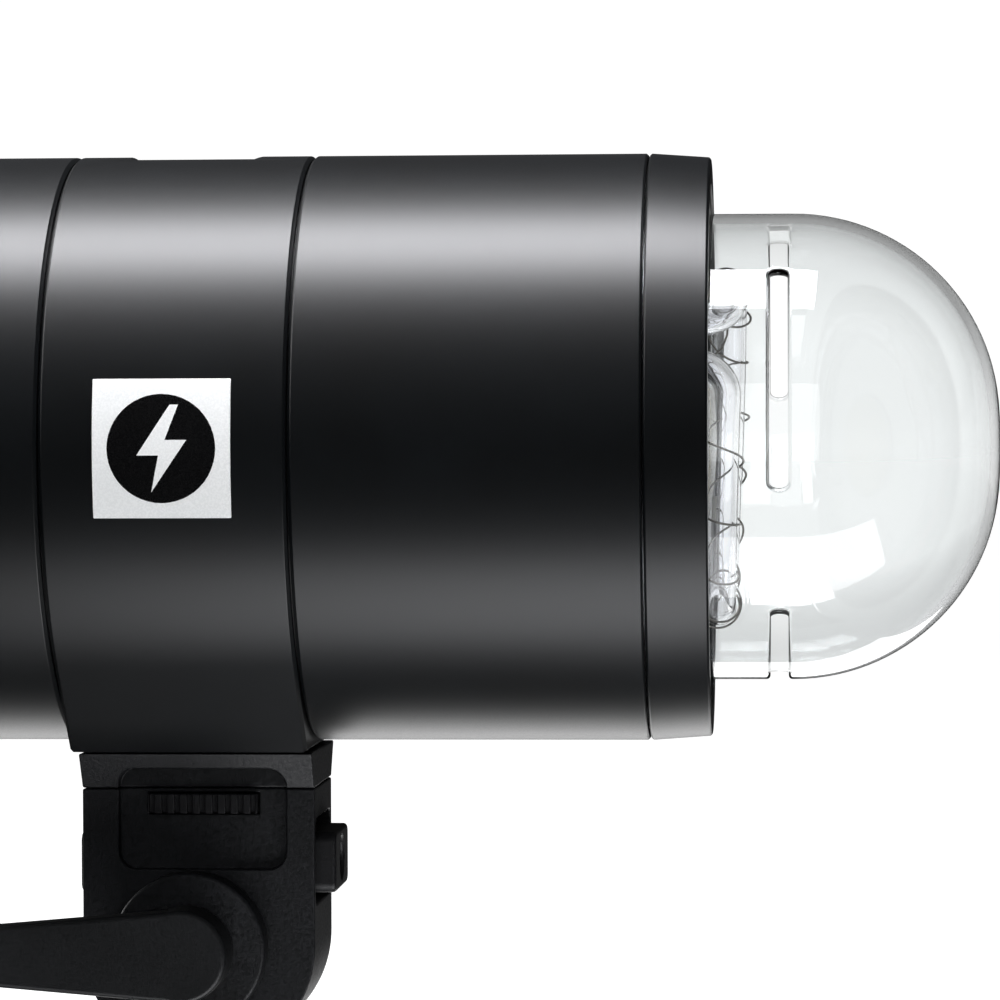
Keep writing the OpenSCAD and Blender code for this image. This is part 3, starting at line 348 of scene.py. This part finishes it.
# Spark-eroded black die casting: coarse rounded grains of about 0.8 mm that break up every highlight.
eroded_casting = grained("spark_eroded_casting", "#16171a", "#090a0b", 0.8, 0.07, (0.4, 0.62), detail=2.0)
# Glass-filled nylon, moulded black: matt with a faint grey bloom.
filled_nylon = grained("glass_filled_nylon", "#131315", "#08080a", 0.5, 0.02, (0.42, 0.6))
# Moulded ABS with a fine etched grain: dark grey and matt.
etched_abs = grained("etched_abs", "#1b1c1f", "#101113", 0.45, 0.02, (0.45, 0.6))
knob_abs = grained("knob_abs", "#18191b", "#0d0e0f", 0.5, 0.015, (0.38, 0.52))
# Matt radio window, moulded polycarbonate.
radio_window = grained("radio_window_polycarbonate", "#2a2b2e", "#1e1f22", 0.3, 0.006, (0.3, 0.42))
# White lacquer, screen printed: bright and half gloss.
white_lacquer = grained("white_lacquer", "#fbfcfc", "#f1f3f3", 0.4, 0.002, (0.22, 0.32))
black_lacquer = grained("black_lacquer", "#0b0b0c", "#060607", 0.4, 0.002, (0.22, 0.32))
# Silicone keys, moulded: soft, matt, with a faint sheen.
grey_silicone = grained("grey_key_silicone", "#3a3b3f", "#2e2f33", 0.3, 0.01, (0.5, 0.65), Sheen_Weight=0.15)
orange_silicone = grained("orange_key_silicone", "#c2531f", "#a84317", 0.3, 0.01, (0.45, 0.6),
                          Sheen_Weight=0.15)
# Clear silicone of the dome's seal, cast: milky and soft.
pale_silicone = grained("clear_silicone", "#d6d6d2", "#c4c4c0", 0.6, 0.01, (0.3, 0.45),
                        Transmission_Weight=0.35)
# Ribbed grip, moulded rubber: almost black and very matt.
grip_rubber = grained("moulded_rubber", "#121213", "#0a0a0b", 0.4, 0.03, (0.62, 0.8), Sheen_Weight=0.2)
# Glossy red ABS of a mains switch.
red_abs = grained("red_switch_abs", "#a3181a", "#8a1214", 0.5, 0.003, (0.18, 0.28))
inlet_nylon = grained("inlet_nylon", "#141416", "#0b0b0c", 0.4, 0.012, (0.4, 0.55))
# Turned and brushed metals: the grain runs round or along the part as fine scratches.
machined_alloy = grained("machined_aluminium", "#c6c8cb", "#a9abaf", 0.25, 0.004, (0.28, 0.42), 1.0,
                         stretch=(4, 1, 1))
cold_rolled = grained("cold_rolled_spring_steel", "#b9b8b2", "#9b9a94", 0.3, 0.003, (0.25, 0.38), 1.0)
plain_steel = grained("plain_steel", "#c4c4c6", "#a4a4a7", 0.25, 0.003, (0.24, 0.36), 1.0, stretch=(1, 3, 1))
nickel_plate = grained("nickel_plate", "#cfccc4", "#b6b3ab", 0.3, 0.001, (0.12, 0.22), 1.0)
turned_brass = grained("turned_brass", "#c2994f", "#a67f3a", 0.25, 0.003, (0.22, 0.34), 1.0)
black_oxide = grained("black_oxide_steel", "#1b1b1d", "#101011", 0.3, 0.003, (0.3, 0.42), 0.6)
tungsten = grained("tungsten_wire", "#7d7a76", "#5c5955", 0.2, 0.004, (0.28, 0.42), 1.0)
extruded_alloy = grained("extruded_aluminium", "#b9bbbe", "#9c9ea2", 0.4, 0.006, (0.35, 0.5), 1.0,
                         stretch=(0.3, 3, 3))
# White heat-proof paint behind the flash tube.
white_paint = grained("white_heatproof_paint", "#f4f4f1", "#e8e8e4", 0.4, 0.01, (0.5, 0.62))
# Unglazed steatite of the lamp sockets: cream and chalky.
steatite = grained("unglazed_steatite", "#efeae0", "#ded8cc", 0.4, 0.02, (0.6, 0.75))
# Yellow phosphor of the modelling lamp.
phosphor = grained("led_phosphor", "#f0cf52", "#dcb63a", 0.5, 0.01, (0.35, 0.5))
# Inside parts.
coil_varnish = grained("varnished_winding", "#6b4a30", "#4c3220", 0.4, 0.05, (0.3, 0.5), stretch=(6, 1, 1))
shrink_sleeve = grained("capacitor_sleeve", "#20293a", "#151c29", 1.5, 0.01, (0.2, 0.32))
fibre_laminate = grained("glass_fibre_laminate", "#cdbd8c", "#b5a573", 0.7, 0.02, (0.4, 0.55),
                         stretch=(1, 3, 0.5))
solder_mask = grained("green_solder_mask", "#1d6a40", "#124a2b", 1.2, 0.02, (0.22, 0.36))
core_varnish = grained("varnished_core", "#54483e", "#3a312a", 0.5, 0.04, (0.35, 0.55))
fan_plastic = grained("fan_plastic", "#232326", "#161618", 0.4, 0.01, (0.4, 0.55))
# Clear borosilicate of the dome and quartz of the tube, both fire polished.
dome_glass = clear("blown_borosilicate", "#fbfdfd", 1.47, (0.0, 0.012), 30.0, 0.02)
quartz = clear("drawn_quartz", "#fdfdff", 1.46, (0.0, 0.015), 12.0, 0.01)
lens_acrylic = clear("frosted_lens_acrylic", "#f6f7f3", 1.49, (0.25, 0.4), 0.6, 0.02)
red_window = clear("dark_red_acrylic", "#7a0c0c", 1.49, (0.05, 0.12), 8.0, 0.01)


# ---------- barrel ----------

def barrel(x1, x2, c1, c2):
    """A barrel tube from x1 to x2, chamfered by c1 and c2 at its outer ends."""
    return lathe([(TUBE_IN, x1), (R0 - c1, x1), (R0, x1 + c1), (R0, x2 - c2), (R0 - c2, x2), (TUBE_IN, x2)],
                 steps=RING_STEPS)


def front_barrel():
    """The front barrel, from the band to the lock ring."""
    bm = barrel(X_BAND + SEAM_GAP, X_RING - FACE_GAP, SEAM, END_CHAMFER)
    return round_off(bm, 0.1, 2, 20)


def rear_barrel():
    """The rear barrel with its four countersunk holes."""
    bm = barrel(X_COVER, -X_BAND - SEAM_GAP, END_CHAMFER, SEAM)
    cutters = []
    for k in range(4):
        sink = lathe([(0, -R0 - 1), (SINK_R + 2, -R0 - 1), (SINK_R, -R0), (SCREW_HOLE_R, -R0 + SINK_DEPTH),
                      (SCREW_HOLE_R, -TUBE_IN + 1), (0, -TUBE_IN + 1)], "Y", 32)
        cutters.append(turn(shift(sink, x=SCREW_X), -45 - 90 * k))
    bm = carved(bm, cutters)
    return round_off(bm, 0.1, 2, 20, lambda mid: abs(mid.yz.length - R0) < 0.7 and
                     (mid.x > -X_BAND - 2 or mid.x < X_BACK + 13))


def pedestal_reach(angle, chamfer):
    """How far the pedestal's outline lies from the lamp axis, at an angle up from straight down."""
    foot = math.atan2(PEDESTAL_HALF, PEDESTAL_FOOT)
    tangent = foot + math.acos(R0 / math.hypot(PEDESTAL_HALF, PEDESTAL_FOOT))
    if angle <= foot:
        return (PEDESTAL_FOOT - chamfer) / math.cos(angle)
    return (R0 - chamfer) / math.cos(tangent - angle) if angle < tangent else None


def saddle_band():
    """The band: a thick ring with a milled flat on top and a pedestal drawn out below."""
    slope = R0 - FLAT_Z
    outer = [(R0 - SEAM, -X_BAND), (R0, -X_BAND + SEAM), (R0, -FLAT_HALF - slope), (R0, -FLAT_HALF),
             (R0, FLAT_HALF), (R0, FLAT_HALF + slope), (R0, X_BAND - SEAM), (R0 - SEAM, X_BAND)]
    tip = X_BAND + SPIGOT
    profile = [(SPIGOT_IN, -X_BAND), (SPIGOT_IN, -tip), (SPIGOT_OUT, -tip), (SPIGOT_OUT, -X_BAND),
               *outer,
               (SPIGOT_OUT, X_BAND), (SPIGOT_OUT, tip), (SPIGOT_IN, tip), (SPIGOT_IN, X_BAND),
               (BAND_IN, X_BAND), (BAND_IN, -X_BAND)]
    bm = lathe(profile, steps=RING_STEPS)
    flat_edge = math.acos(FLAT_Z / R0) + 0.002
    corner = math.atan2(PEDESTAL_HALF, PEDESTAL_FOOT)
    step = math.tau / RING_STEPS
    for v in bm.verts:
        radius = v.co.yz.length
        if radius < TUBE_IN + 0.5:
            continue
        from_top = abs(math.atan2(v.co.y, v.co.z))
        from_foot = math.pi - from_top
        reach = pedestal_reach(from_foot, R0 - radius)
        if reach and abs(from_foot - corner) < step / 2:
            reach = math.hypot(PEDESTAL_HALF, PEDESTAL_FOOT) - (R0 - radius)
            v.co.y = math.copysign(reach * math.sin(corner), v.co.y)
            v.co.z = -reach * math.cos(corner)
        elif reach:
            v.co.y *= reach / radius
            v.co.z *= reach / radius
        if abs(v.co.x) < FLAT_HALF + slope + 0.1:
            if abs(v.co.x) > FLAT_HALF + 0.1:
                rise = max(0.0, R0 * math.cos(from_top) - FLAT_Z) if from_top < flat_edge else 0.0
                v.co.x = math.copysign(FLAT_HALF + rise, v.co.x)
            elif from_top < flat_edge:
                v.co.z = FLAT_Z
    close_up(bm)
    pocket = rectangle(-WINDOW_X, WINDOW_X, -WINDOW_Y, WINDOW_Y)
    bm = carved(bm, [prism(pocket, "Z", R0 - WINDOW_DEPTH, R0 + 2)])
    return round_off(bm, 0.12, 2, 9, lambda mid: mid.yz.length > TUBE_IN + 0.6 and
                     not (abs(abs(mid.x) - FLAT_HALF) < 0.9 and abs(mid.y) > 10.5 and mid.z > 0))


def badge_tile():
    """The square badge, curved to the barrel."""
    half = math.degrees(math.asin(BADGE_HALF / R0))
    bm = lathe([(R0 - 0.8, -BADGE_HALF), (R0 + 0.3, -BADGE_HALF), (R0 + 0.3, BADGE_HALF),
                (R0 - 0.8, BADGE_HALF)], steps=20, arc=2 * half, start=180 - half)
    return round_off(bm, 0.2, 3, 40)


def wrapped(outline, low, high, strips=12):
    """A flat mark in (x, z), cut into strips and laid round the near side between two radii."""
    bm = bmesh.new()
    bm.faces.new([bm.verts.new((a, 0, b)) for a, b in outline])
    bottom, top = min(b for _, b in outline), max(b for _, b in outline)
    for k in range(1, strips):
        level = bottom + (top - bottom) * k / strips
        bmesh.ops.bisect_plane(bm, geom=[*bm.verts, *bm.edges, *bm.faces], plane_co=(0, 0, level),
                               plane_no=(0, 0, 1), dist=1e-5)
    made = bmesh.ops.extrude_face_region(bm, geom=list(bm.faces))["geom"]
    raised = {v for v in made if isinstance(v, bmesh.types.BMVert)}
    for v in bm.verts:
        radius = high if v in raised else low
        v.co.y = -math.sqrt(radius ** 2 - v.co.z ** 2)
    return close_up(bm)


def ring_points(radius, count=48):
    """The outline of a circle."""
    angles = [math.tau * k / count for k in range(count)]
    return [(radius * math.cos(a), radius * math.sin(a)) for a in angles]


# The badge's mark, in (x, z) from the badge's middle.
BOLT = [(1.6, 8.2), (-4.6, -1.3), (-0.5, -1.3), (-1.9, -8.2), (4.8, 1.6), (0.7, 1.6), (3.2, 8.2)]


def lock_ring():
    """The turning ring that holds an accessory, with its three lips."""
    taper, edge, wall = 0.8, 0.4, 6
    shell = lathe([(R0 - wall, X_RING), (R0 - edge, X_RING), (R0, X_RING + edge), (R0 - taper, X_FACE - edge),
                   (R0 - taper - edge, X_FACE), (R0 - wall, X_FACE)], steps=RING_STEPS)
    round_off(shell, 0.15, 3, 20)
    lip_in, lip_out, lip_back, lip_front = R0 - 9, R0 - 5.5, X_FACE - 3, X_FACE - 0.4
    lips = []
    for k in range(3):
        lip = lathe([(lip_in, lip_back), (lip_out, lip_back), (lip_out, lip_front), (lip_in, lip_front)],
                    steps=42, arc=70, start=180 - 35)
        lips.append(turn(round_off(lip, 0.3, 2, 40), -(210 + 120 * k)))
    return joined([shell, *lips])


# ---------- glass ----------

def dome():
    """The blown dome: a closed double wall, three slots with fire-polished rims."""
    shoulder_r = DOME_R - DOME_FLAT
    centre_x = X_TIP - shoulder_r

    def wall(inset):
        rows = (DOME_FOOT, DOME_FOOT + 6, DOME_FOOT + 14, SLOT_X - SLOT_HALF, SLOT_X, SLOT_X + SLOT_HALF)
        straight = [(DOME_R - inset, x) for x in rows]
        curve = [(DOME_FLAT + (shoulder_r - inset) * math.cos(math.radians(a)),
                  centre_x + (shoulder_r - inset) * math.sin(math.radians(a))) for a in range(3, 90, 3)]
        return straight + curve + [(r, X_TIP - inset) for r in (DOME_FLAT, DOME_FLAT / 2, 0)]

    shells = []
    for inset in (0, DOME_WALL):
        bm = bmesh.new()
        verts = [bm.verts.new((x, -r, 0)) for r, x in wall(inset)]
        edges = [bm.edges.new(pair) for pair in zip(verts, verts[1:])]
        bmesh.ops.spin(bm, geom=verts + edges, cent=(0, 0, 0), axis=TURN["X"], dvec=(0, 0, 0), angle=math.tau,
                       steps=240, use_merge=True, use_duplicate=False)
        bmesh.ops.remove_doubles(bm, verts=bm.verts, dist=0.0005)
        shells.append(bm)
    bm = joined(shells)
    half = SLOT_ARC / 2
    gone = []
    for f in bm.faces:
        mid = f.calc_center_median()
        if abs(mid.x - SLOT_X) < SLOT_HALF:
            at = math.degrees(math.atan2(mid.z, -mid.y))
            if any(abs((at - 120 * k + 180) % 360 - 180) < half for k in range(3)):
                gone.append(f)
    bmesh.ops.delete(bm, geom=gone, context="FACES")
    rims = [e for e in bm.edges if e.is_boundary]

    def loops(edges):
        found, left = [], set(edges)
        while left:
            loop, ends = [], [left.pop()]
            while ends:
                e = ends.pop()
                loop.append(e)
                for v in e.verts:
                    for other in v.link_edges:
                        if other in left:
                            left.discard(other)
                            ends.append(other)
            found.append(loop)
        return found

    rings = loops(rims)

    def middle(loop):
        return sum((e.verts[0].co + e.verts[1].co for e in loop), Vector()) / (2 * len(loop))

    rings.sort(key=lambda loop: middle(loop).yz.length)  # so that outer rims are popped first
    feet = [r for r in rings if middle(r).yz.length < 1]
    slots = [r for r in rings if middle(r).yz.length >= 1]
    if feet:
        bmesh.ops.bridge_loops(bm, edges=[e for r in feet for e in r])
    while slots:
        first = slots.pop()
        partner = min(slots, key=lambda r: (middle(r) - middle(first)).length)
        slots.remove(partner)
        bmesh.ops.bridge_loops(bm, edges=first + partner)
    bmesh.ops.recalc_face_normals(bm, faces=bm.faces)

    def radial(e):
        a, b = e.verts[0].co, e.verts[1].co
        return abs(a.x - b.x) < 0.01 and abs(abs(a.yz.length - b.yz.length) - DOME_WALL) < 0.05

    corners = [e for e in bm.edges if radial(e) and e.calc_face_angle(0) > math.radians(60)]
    bmesh.ops.bevel(bm, geom=corners, offset=SLOT_HALF * 0.96, offset_type="OFFSET", segments=6, profile=0.5,
                    affect="EDGES", clamp_overlap=False, material=-1)
    bmesh.ops.remove_doubles(bm, verts=bm.verts, dist=0.01)
    round_off(bm, 0.75, 4, 50)
    return turn(bm, -SLOT_TURN)


def trigger_wire():
    """The thin wire wound loosely round the flash tube, and its post."""
    tube_x, ring_r, tube_r = X_FACE + 2.2, 31.5, 3.5
    lean = 1.8                                   # degrees by which the tube leans
    tilt = Matrix.Rotation(math.radians(lean), 4, "Y")
    pivot = Vector((X_FACE - 11, 0, 0))
    turns, steps, wire_r = 13, 20, 0.22
    start, span = math.radians(68), math.radians(304)
    post_reach, post_r, post_turn = 25, 1.2, 40  # the post's place off the axis, its radius, its angle
    post_foot, post_tip = X_FACE - 10.8, X_FACE - 5
    curve = bpy.data.curves.new("trigger_wire_line", "CURVE")
    curve.dimensions, curve.bevel_depth, curve.bevel_resolution = "3D", wire_r, 3
    line = curve.splines.new("NURBS")
    post_angle = math.radians(post_turn)
    points = [Vector((post_tip, -post_reach * math.cos(post_angle), post_reach * math.sin(post_angle)))]
    points += [points[0] + Vector((3, 0, 0)), points[0] + Vector((8, 2, 3))]
    for i in range(turns * steps + 1):
        share = i / (turns * steps)
        loose = 0.45 + 0.35 * math.sin(5.1 * share * math.tau) * math.sin(1.7 + 11 * share)
        gap = tube_r + 0.25 + max(0.12, loose)
        round_tube = math.tau * i / steps
        along = start + span * share + 0.035 * math.sin(round_tube) * math.sin(9 * share)
        r = ring_r - gap * math.cos(round_tube)
        x = tube_x + gap * math.sin(round_tube)
        points.append(Vector((x, -r * math.cos(along), r * math.sin(along))))
    line.points.add(len(points) - 1)
    for point, place in zip(line.points, points):
        place = tilt @ (place - pivot) + pivot
        point.co = (*place, 1)
    line.order_u, line.use_endpoint_u, curve.use_fill_caps = 4, True, True
    curve.resolution_u = 2
    holder = bpy.data.objects.new("trigger_wire_line", curve)
    bpy.context.scene.collection.objects.link(holder)
    bpy.context.view_layer.update()
    bm = bmesh.new()
    bm.from_mesh(holder.evaluated_get(bpy.context.evaluated_depsgraph_get()).to_mesh())
    bpy.data.objects.remove(holder)
    bpy.data.curves.remove(curve)
    post = lathe([(0, post_foot), (post_r, post_foot), (post_r, post_tip), (0, post_tip)], steps=24)
    round_off(post, 0.2, 2, 40)
    turn(shift(post, y=-post_reach), -post_turn)
    shift(post, x=-pivot.x)
    turn(post, lean, "Y")
    shift(post, x=pivot.x)
    return joined([bm, post])


# ---------- pieces of the lamp ----------

HEAD = "lamp_head"


def head_piece(name, bm, material, slot, *stands_for, **more):
    """A piece of the lamp head, made about the lamp axis."""
    return piece(name, bm, HEAD, material, slot, *stands_for, height=AXIS_H, **more)


head_piece("front_barrel_shell", front_barrel(), powder_coat, "black_tube", "front_barrel")
head_piece("rear_barrel_shell", rear_barrel(), powder_coat, "black_tube", "rear_barrel")
head_piece("saddle_band_casting", saddle_band(), powder_coat, "black_tube", "saddle_band")
head_piece("badge_tile", badge_tile(), white_lacquer, "badge_enamel", "badge")
head_piece("badge_disc", wrapped(ring_points(10.2), R0 + 0.15, R0 + 0.34, 16), black_lacquer, "badge_enamel")
head_piece("badge_bolt", wrapped(BOLT, R0 + 0.2, R0 + 0.39, 12), white_lacquer, "badge_enamel")
piece("lock_ring_turned", lock_ring(), "lock_ring", ring_coat, "black_ring", "lock_ring", height=AXIS_H)
head_piece("dome_blown", dome(), dome_glass, "dome_glass", "glass_dome", smooth=60)
head_piece("trigger_wire_wound", trigger_wire(), tungsten, "electrode", "trigger_wire", smooth=70)


def softened(name, cad_node, body, material, slot, width, segments=2):
    """A merged copy of a CAD node with its edges rounded as moulding, casting or machining leaves them."""
    bm = round_off(merged_copy(cad_node), width, segments, 28)
    return piece(name, bm, body, material, slot, cad_node)


softened("antenna_cap", "antenna_window", HEAD, radio_window, "window_plastic", 0.15)
softened("shoe_casting", "shoe", HEAD, eroded_casting, "bracket_cast", 0.35, 3)
softened("tilt_block_casting", "tilt_block", HEAD, eroded_casting, "bracket_cast", 0.35, 3)
softened("umbrella_bush_moulding", "umbrella_bush", HEAD, filled_nylon, "black_nylon", 0.8, 4)
softened("rear_cover_moulding", "rear_cover", HEAD, etched_abs, "cover_plastic", 0.25)
softened("mains_inlet_moulding", "mains_inlet", HEAD, inlet_nylon, "inlet_plastic", 0.25)
softened("inlet_blades", "inlet_pins", HEAD, nickel_plate, "nickel", 0.3)
softened("display_window", "display", HEAD, black_lacquer, "display_glass", 0.25)
softened("sync_jack_barrel", "sync_jack", HEAD, nickel_plate, "nickel", 0.2)
softened("release_pad_near", "release_button_near", "release_button_near", filled_nylon, "black_nylon", 0.18)
softened("release_pad_far", "release_button_far", "release_button_far", filled_nylon, "black_nylon", 0.18)
for k in (1, 2, 3):
    softened(f"soft_key_cap_{k}", f"soft_key_{k}", f"soft_key_{k}", grey_silicone, "grey_key", 0.35, 3)
softened("test_key_cap", "test_key", "test_key", orange_silicone, "orange_key", 0.35, 3)
softened("lamp_key_cap", "lamp_key", "lamp_key", grey_silicone, "grey_key", 0.35, 3)
softened("rocker_cap", "power_rocker", "power_rocker", red_abs, "red_rocker", 0.25)
softened("dial_cap", "control_dial", "control_dial", knob_abs, "knob_plastic", 0.2)
softened("stand_bracket_casting", "stand_bracket", "stand_bracket", eroded_casting, "bracket_cast", 0.7, 3)
softened("axle_bolt", "tilt_axle", "stand_bracket", plain_steel, "steel_bright", 0.3)
softened("tilt_lever_moulding", "tilt_lever", "tilt_lever", knob_abs, "knob_plastic", 1.0, 4)
softened("clamp_knob_moulding", "clamp_knob", "clamp_knob", knob_abs, "knob_plastic", 0.8, 3)
softened("umbrella_knob_moulding", "umbrella_knob", "umbrella_knob", knob_abs, "knob_plastic", 0.4, 2)
softened("handle_grip_moulding", "handle_grip", HEAD, grip_rubber, "grip_rubber", 0.2)
softened("handle_bar", "rear_handle", HEAD, powder_coat, "handle_metal", 0.3)

# The display's nine level bars, between two rules, stand a hair proud of its window.
low, high = lowest("display"), highest("display")
margin, pitch, bar_width, rule_width = 9, 3.4, 2.2, 0.5
proud, sunk = low.x - 0.04, low.x + 0.3
bars = []
for k in range(9):
    left = low.y + margin + k * pitch
    bars.append(prism(rectangle(left, left + bar_width, low.z + 6, low.z + 7.5 + k), "X", proud, sunk))
for level in (low.z + 4, high.z - 4.2):
    rule = rectangle(low.y + margin, high.y - margin, level, level + rule_width)
    bars.append(prism(rule, "X", proud, sunk))
piece("display_bars", joined(bars), HEAD, white_lacquer, "display_glass")

# Each latch spring is rounded off and given a mesh of its own.
for side, far_end in (("near", highest("latch_spring_near")), ("far", lowest("latch_spring_far"))):
    spring = softened(f"latch_leaf_{side}", f"latch_spring_{side}", HEAD, cold_rolled, "spring_steel",
                      0.05, 1)
    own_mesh(spring)

# CAD nodes that keep their own mesh.
KEPT = {
    "front_flange": machined_alloy, "ring_guide_pins": plain_steel, "dome_seal": pale_silicone,
    "dome_springs": cold_rolled, "reflector_plate": white_paint, "flash_tube": quartz,
    "tube_electrodes": tungsten, "tube_sockets": steatite, "modelling_led": phosphor,
    "led_lens": lens_acrylic, "led_heatsink": extruded_alloy, "trigger_coil": coil_varnish,
    "capacitors": shrink_sleeve, "capacitor_plates": fibre_laminate, "charger_board": solder_mask,
    "charger_parts": core_varnish, "fan_frame": fan_plastic, "fan_rotor": fan_plastic,
    "cover_screws": black_oxide, "control_board": solder_mask, "sensor_eye": red_window,
    "dial_shaft": plain_steel, "shoe_screws": plain_steel, "latch_cover": plain_steel,
    "umbrella_pad": turned_brass, "clamp_pad": turned_brass,
}
for cad_node, material in KEPT.items():
    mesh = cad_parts[cad_node].data
    mesh.materials.clear()
    mesh.materials.append(material)

shown = {o.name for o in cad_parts.values() if not o.hide_render}
assert shown == set(KEPT), shown ^ set(KEPT)


# ---------- stage, light and camera ----------

def backdrop_material():
    """White paper: plain white to the eye, and in the glass a little darker close to the lamp, a painted
    shade.
    """
    material = bpy.data.materials.new("white_paper_floor")
    material.use_nodes = True
    tree = material.node_tree
    shader = tree.nodes["Principled BSDF"]
    place = add(tree, "ShaderNodeTexCoord").outputs["Object"]
    fibre = add(tree, "ShaderNodeTexNoise", {"Vector": place, "Scale": 400.0, "Detail": 3.0}).outputs["Fac"]
    tree.links.new(ranged(tree, fibre, 0.0, 1.0, 0.85, 0.95), shader.inputs["Roughness"])
    shader.inputs["Base Color"].default_value = linear("#9a9a9a")
    shader.inputs["Specular IOR Level"].default_value = 0.0
    shader.inputs["Emission Color"].default_value = (1, 1, 1, 1)
    away = add(tree, "ShaderNodeVectorMath", {0: place}, operation="LENGTH").outputs["Value"]
    # Painted shade: seen through the glass, the paper glows at 0.55 within 0.7 m of the lamp, rising to full
    # white at 2.8 m.
    far = ranged(tree, away, 0.7, 2.8, 0.55, 1.0)
    seen = add(tree, "ShaderNodeLightPath").outputs["Is Camera Ray"]
    glow = add(tree, "ShaderNodeMath", {0: far, 1: seen}, operation="MAXIMUM").outputs[0]
    tree.links.new(glow, shader.inputs["Emission Strength"])
    return material


# The paper is seen only by the camera and through the glass, so it throws no light on the lamp.
floor_bm = bmesh.new()
bmesh.ops.create_grid(floor_bm, x_segments=2, y_segments=2, size=30.0)
floor_mesh = bpy.data.meshes.new("paper_floor")
floor_bm.to_mesh(floor_mesh)
floor_bm.free()
floor_mesh.materials.append(backdrop_material())
floor = bpy.data.objects.new("paper_floor", floor_mesh)
bpy.context.scene.collection.objects.link(floor)
floor.location.z = -0.0004
floor.visible_glossy = False
floor.visible_diffuse = False
floor.visible_shadow = False


def softbox(name, place, aim, width, length, power, colour=(1, 1, 1)):
    """A soft area light that looks at its aim, with its length as near to X as that allows."""
    light = bpy.data.lights.new(name, "AREA")
    light.shape, light.size, light.size_y = "RECTANGLE", length, width
    light.energy, light.color = power, colour
    obj = bpy.data.objects.new(name, light)
    bpy.context.scene.collection.objects.link(obj)
    back = (Vector(place) - Vector(aim)).normalized()
    side = Vector((1, 0, 0)) if abs(back.x) < 0.9 else Vector((0, 1, 0))
    up = back.cross(side).normalized()
    side = up.cross(back).normalized()
    obj.matrix_world = Matrix.Translation(Vector(place)) @ Matrix((side, up, back)).transposed().to_4x4()
    obj.visible_camera = False
    return obj


AXIS = Vector((0, 0, AXIS_H * MM))


def around(elevation, distance, x=0.0):
    """A place round the lamp axis: 0 is towards the camera, 90 straight up."""
    angle = math.radians(elevation)
    return AXIS + Vector((x, -distance * math.cos(angle), distance * math.sin(angle)))


# The overhead softbox draws the long highlight on the barrels and the low fill the fainter one beneath; the
# wash lights matt surfaces only, and the other two give the far side and the back their edges.
softbox("overhead_softbox", around(82.6, 0.75, -0.08), AXIS + Vector((-0.08, 0, 0)), 0.31, 0.64, 13.5,
        (0.965, 0.965, 1.0))
softbox("low_front_fill", around(-60, 0.7, 0.326), AXIS + Vector((0.326, 0, 0)), 0.42, 0.84, 4.5,
        (0.96, 0.97, 1.0))
front_wash = softbox("front_wash", around(12, 1.3), AXIS, 0.9, 0.9, 7.5)
front_wash.visible_glossy = False
far_fill = softbox("far_side_fill", around(-145, 1.2), AXIS, 0.6, 1.2, 6)
far_fill.visible_transmission = False
softbox("rear_softbox", AXIS + Vector((-1.1, 0.25, 0.45)), AXIS, 0.7, 0.9, 22)

# The studio is white to the camera, and to light that has passed through glass it is white near the horizon
# and half as bright above and below. For everything else it is nearly dark.
world = bpy.data.worlds.new("white_studio")
bpy.context.scene.world = world
world.use_nodes = True
wt = world.node_tree
wt.nodes.clear()
path = add(wt, "ShaderNodeLightPath")
direction = add(wt, "ShaderNodeTexCoord").outputs["Generated"]
height = add(wt, "ShaderNodeSeparateXYZ", {"Vector": direction}).outputs["Z"]
steep = add(wt, "ShaderNodeMath", {0: height}, operation="ABSOLUTE").outputs[0]
band = ranged(wt, steep, 0.05, 0.24, 1.0, 0.5)
through = add(wt, "ShaderNodeMath", {0: path.outputs["Is Transmission Ray"], 1: band},
              operation="MULTIPLY").outputs[0]
seen = add(wt, "ShaderNodeMath", {0: path.outputs["Is Camera Ray"], 1: 1.05}, operation="MULTIPLY").outputs[0]
bright = add(wt, "ShaderNodeMath", {0: through, 1: seen}, operation="MAXIMUM").outputs[0]
level = add(wt, "ShaderNodeMath", {0: bright, 1: 0.02}, operation="MAXIMUM").outputs[0]
sky = add(wt, "ShaderNodeBackground", {"Color": (1, 1, 1, 1), "Strength": level})
add(wt, "ShaderNodeOutputWorld", {"Surface": sky.outputs[0]})

scene = bpy.context.scene
scene.view_settings.view_transform = "Standard"
scene.view_settings.look = "None"
BOUNCES = 16  # enough for light to pass both walls of the dome, the tube and the lens behind them
scene.cycles.max_bounces = BOUNCES
scene.cycles.transmission_bounces = BOUNCES
scene.cycles.transparent_max_bounces = BOUNCES

camera_data = bpy.data.cameras.new("camera")
camera_data.lens = 157.9
camera_data.sensor_width = 36.0
camera_data.clip_start, camera_data.clip_end = 0.05, 100
camera = bpy.data.objects.new("camera", camera_data)
scene.collection.objects.link(camera)
YAW, PITCH, ROLL = 3.70, 0.68, 0.19  # degrees
camera.location = ((X_FACE + 14.1) * MM, -0.870, 0.1691)
camera.rotation_euler = (math.radians(90 - PITCH), math.radians(ROLL), math.radians(YAW))
scene.camera = camera
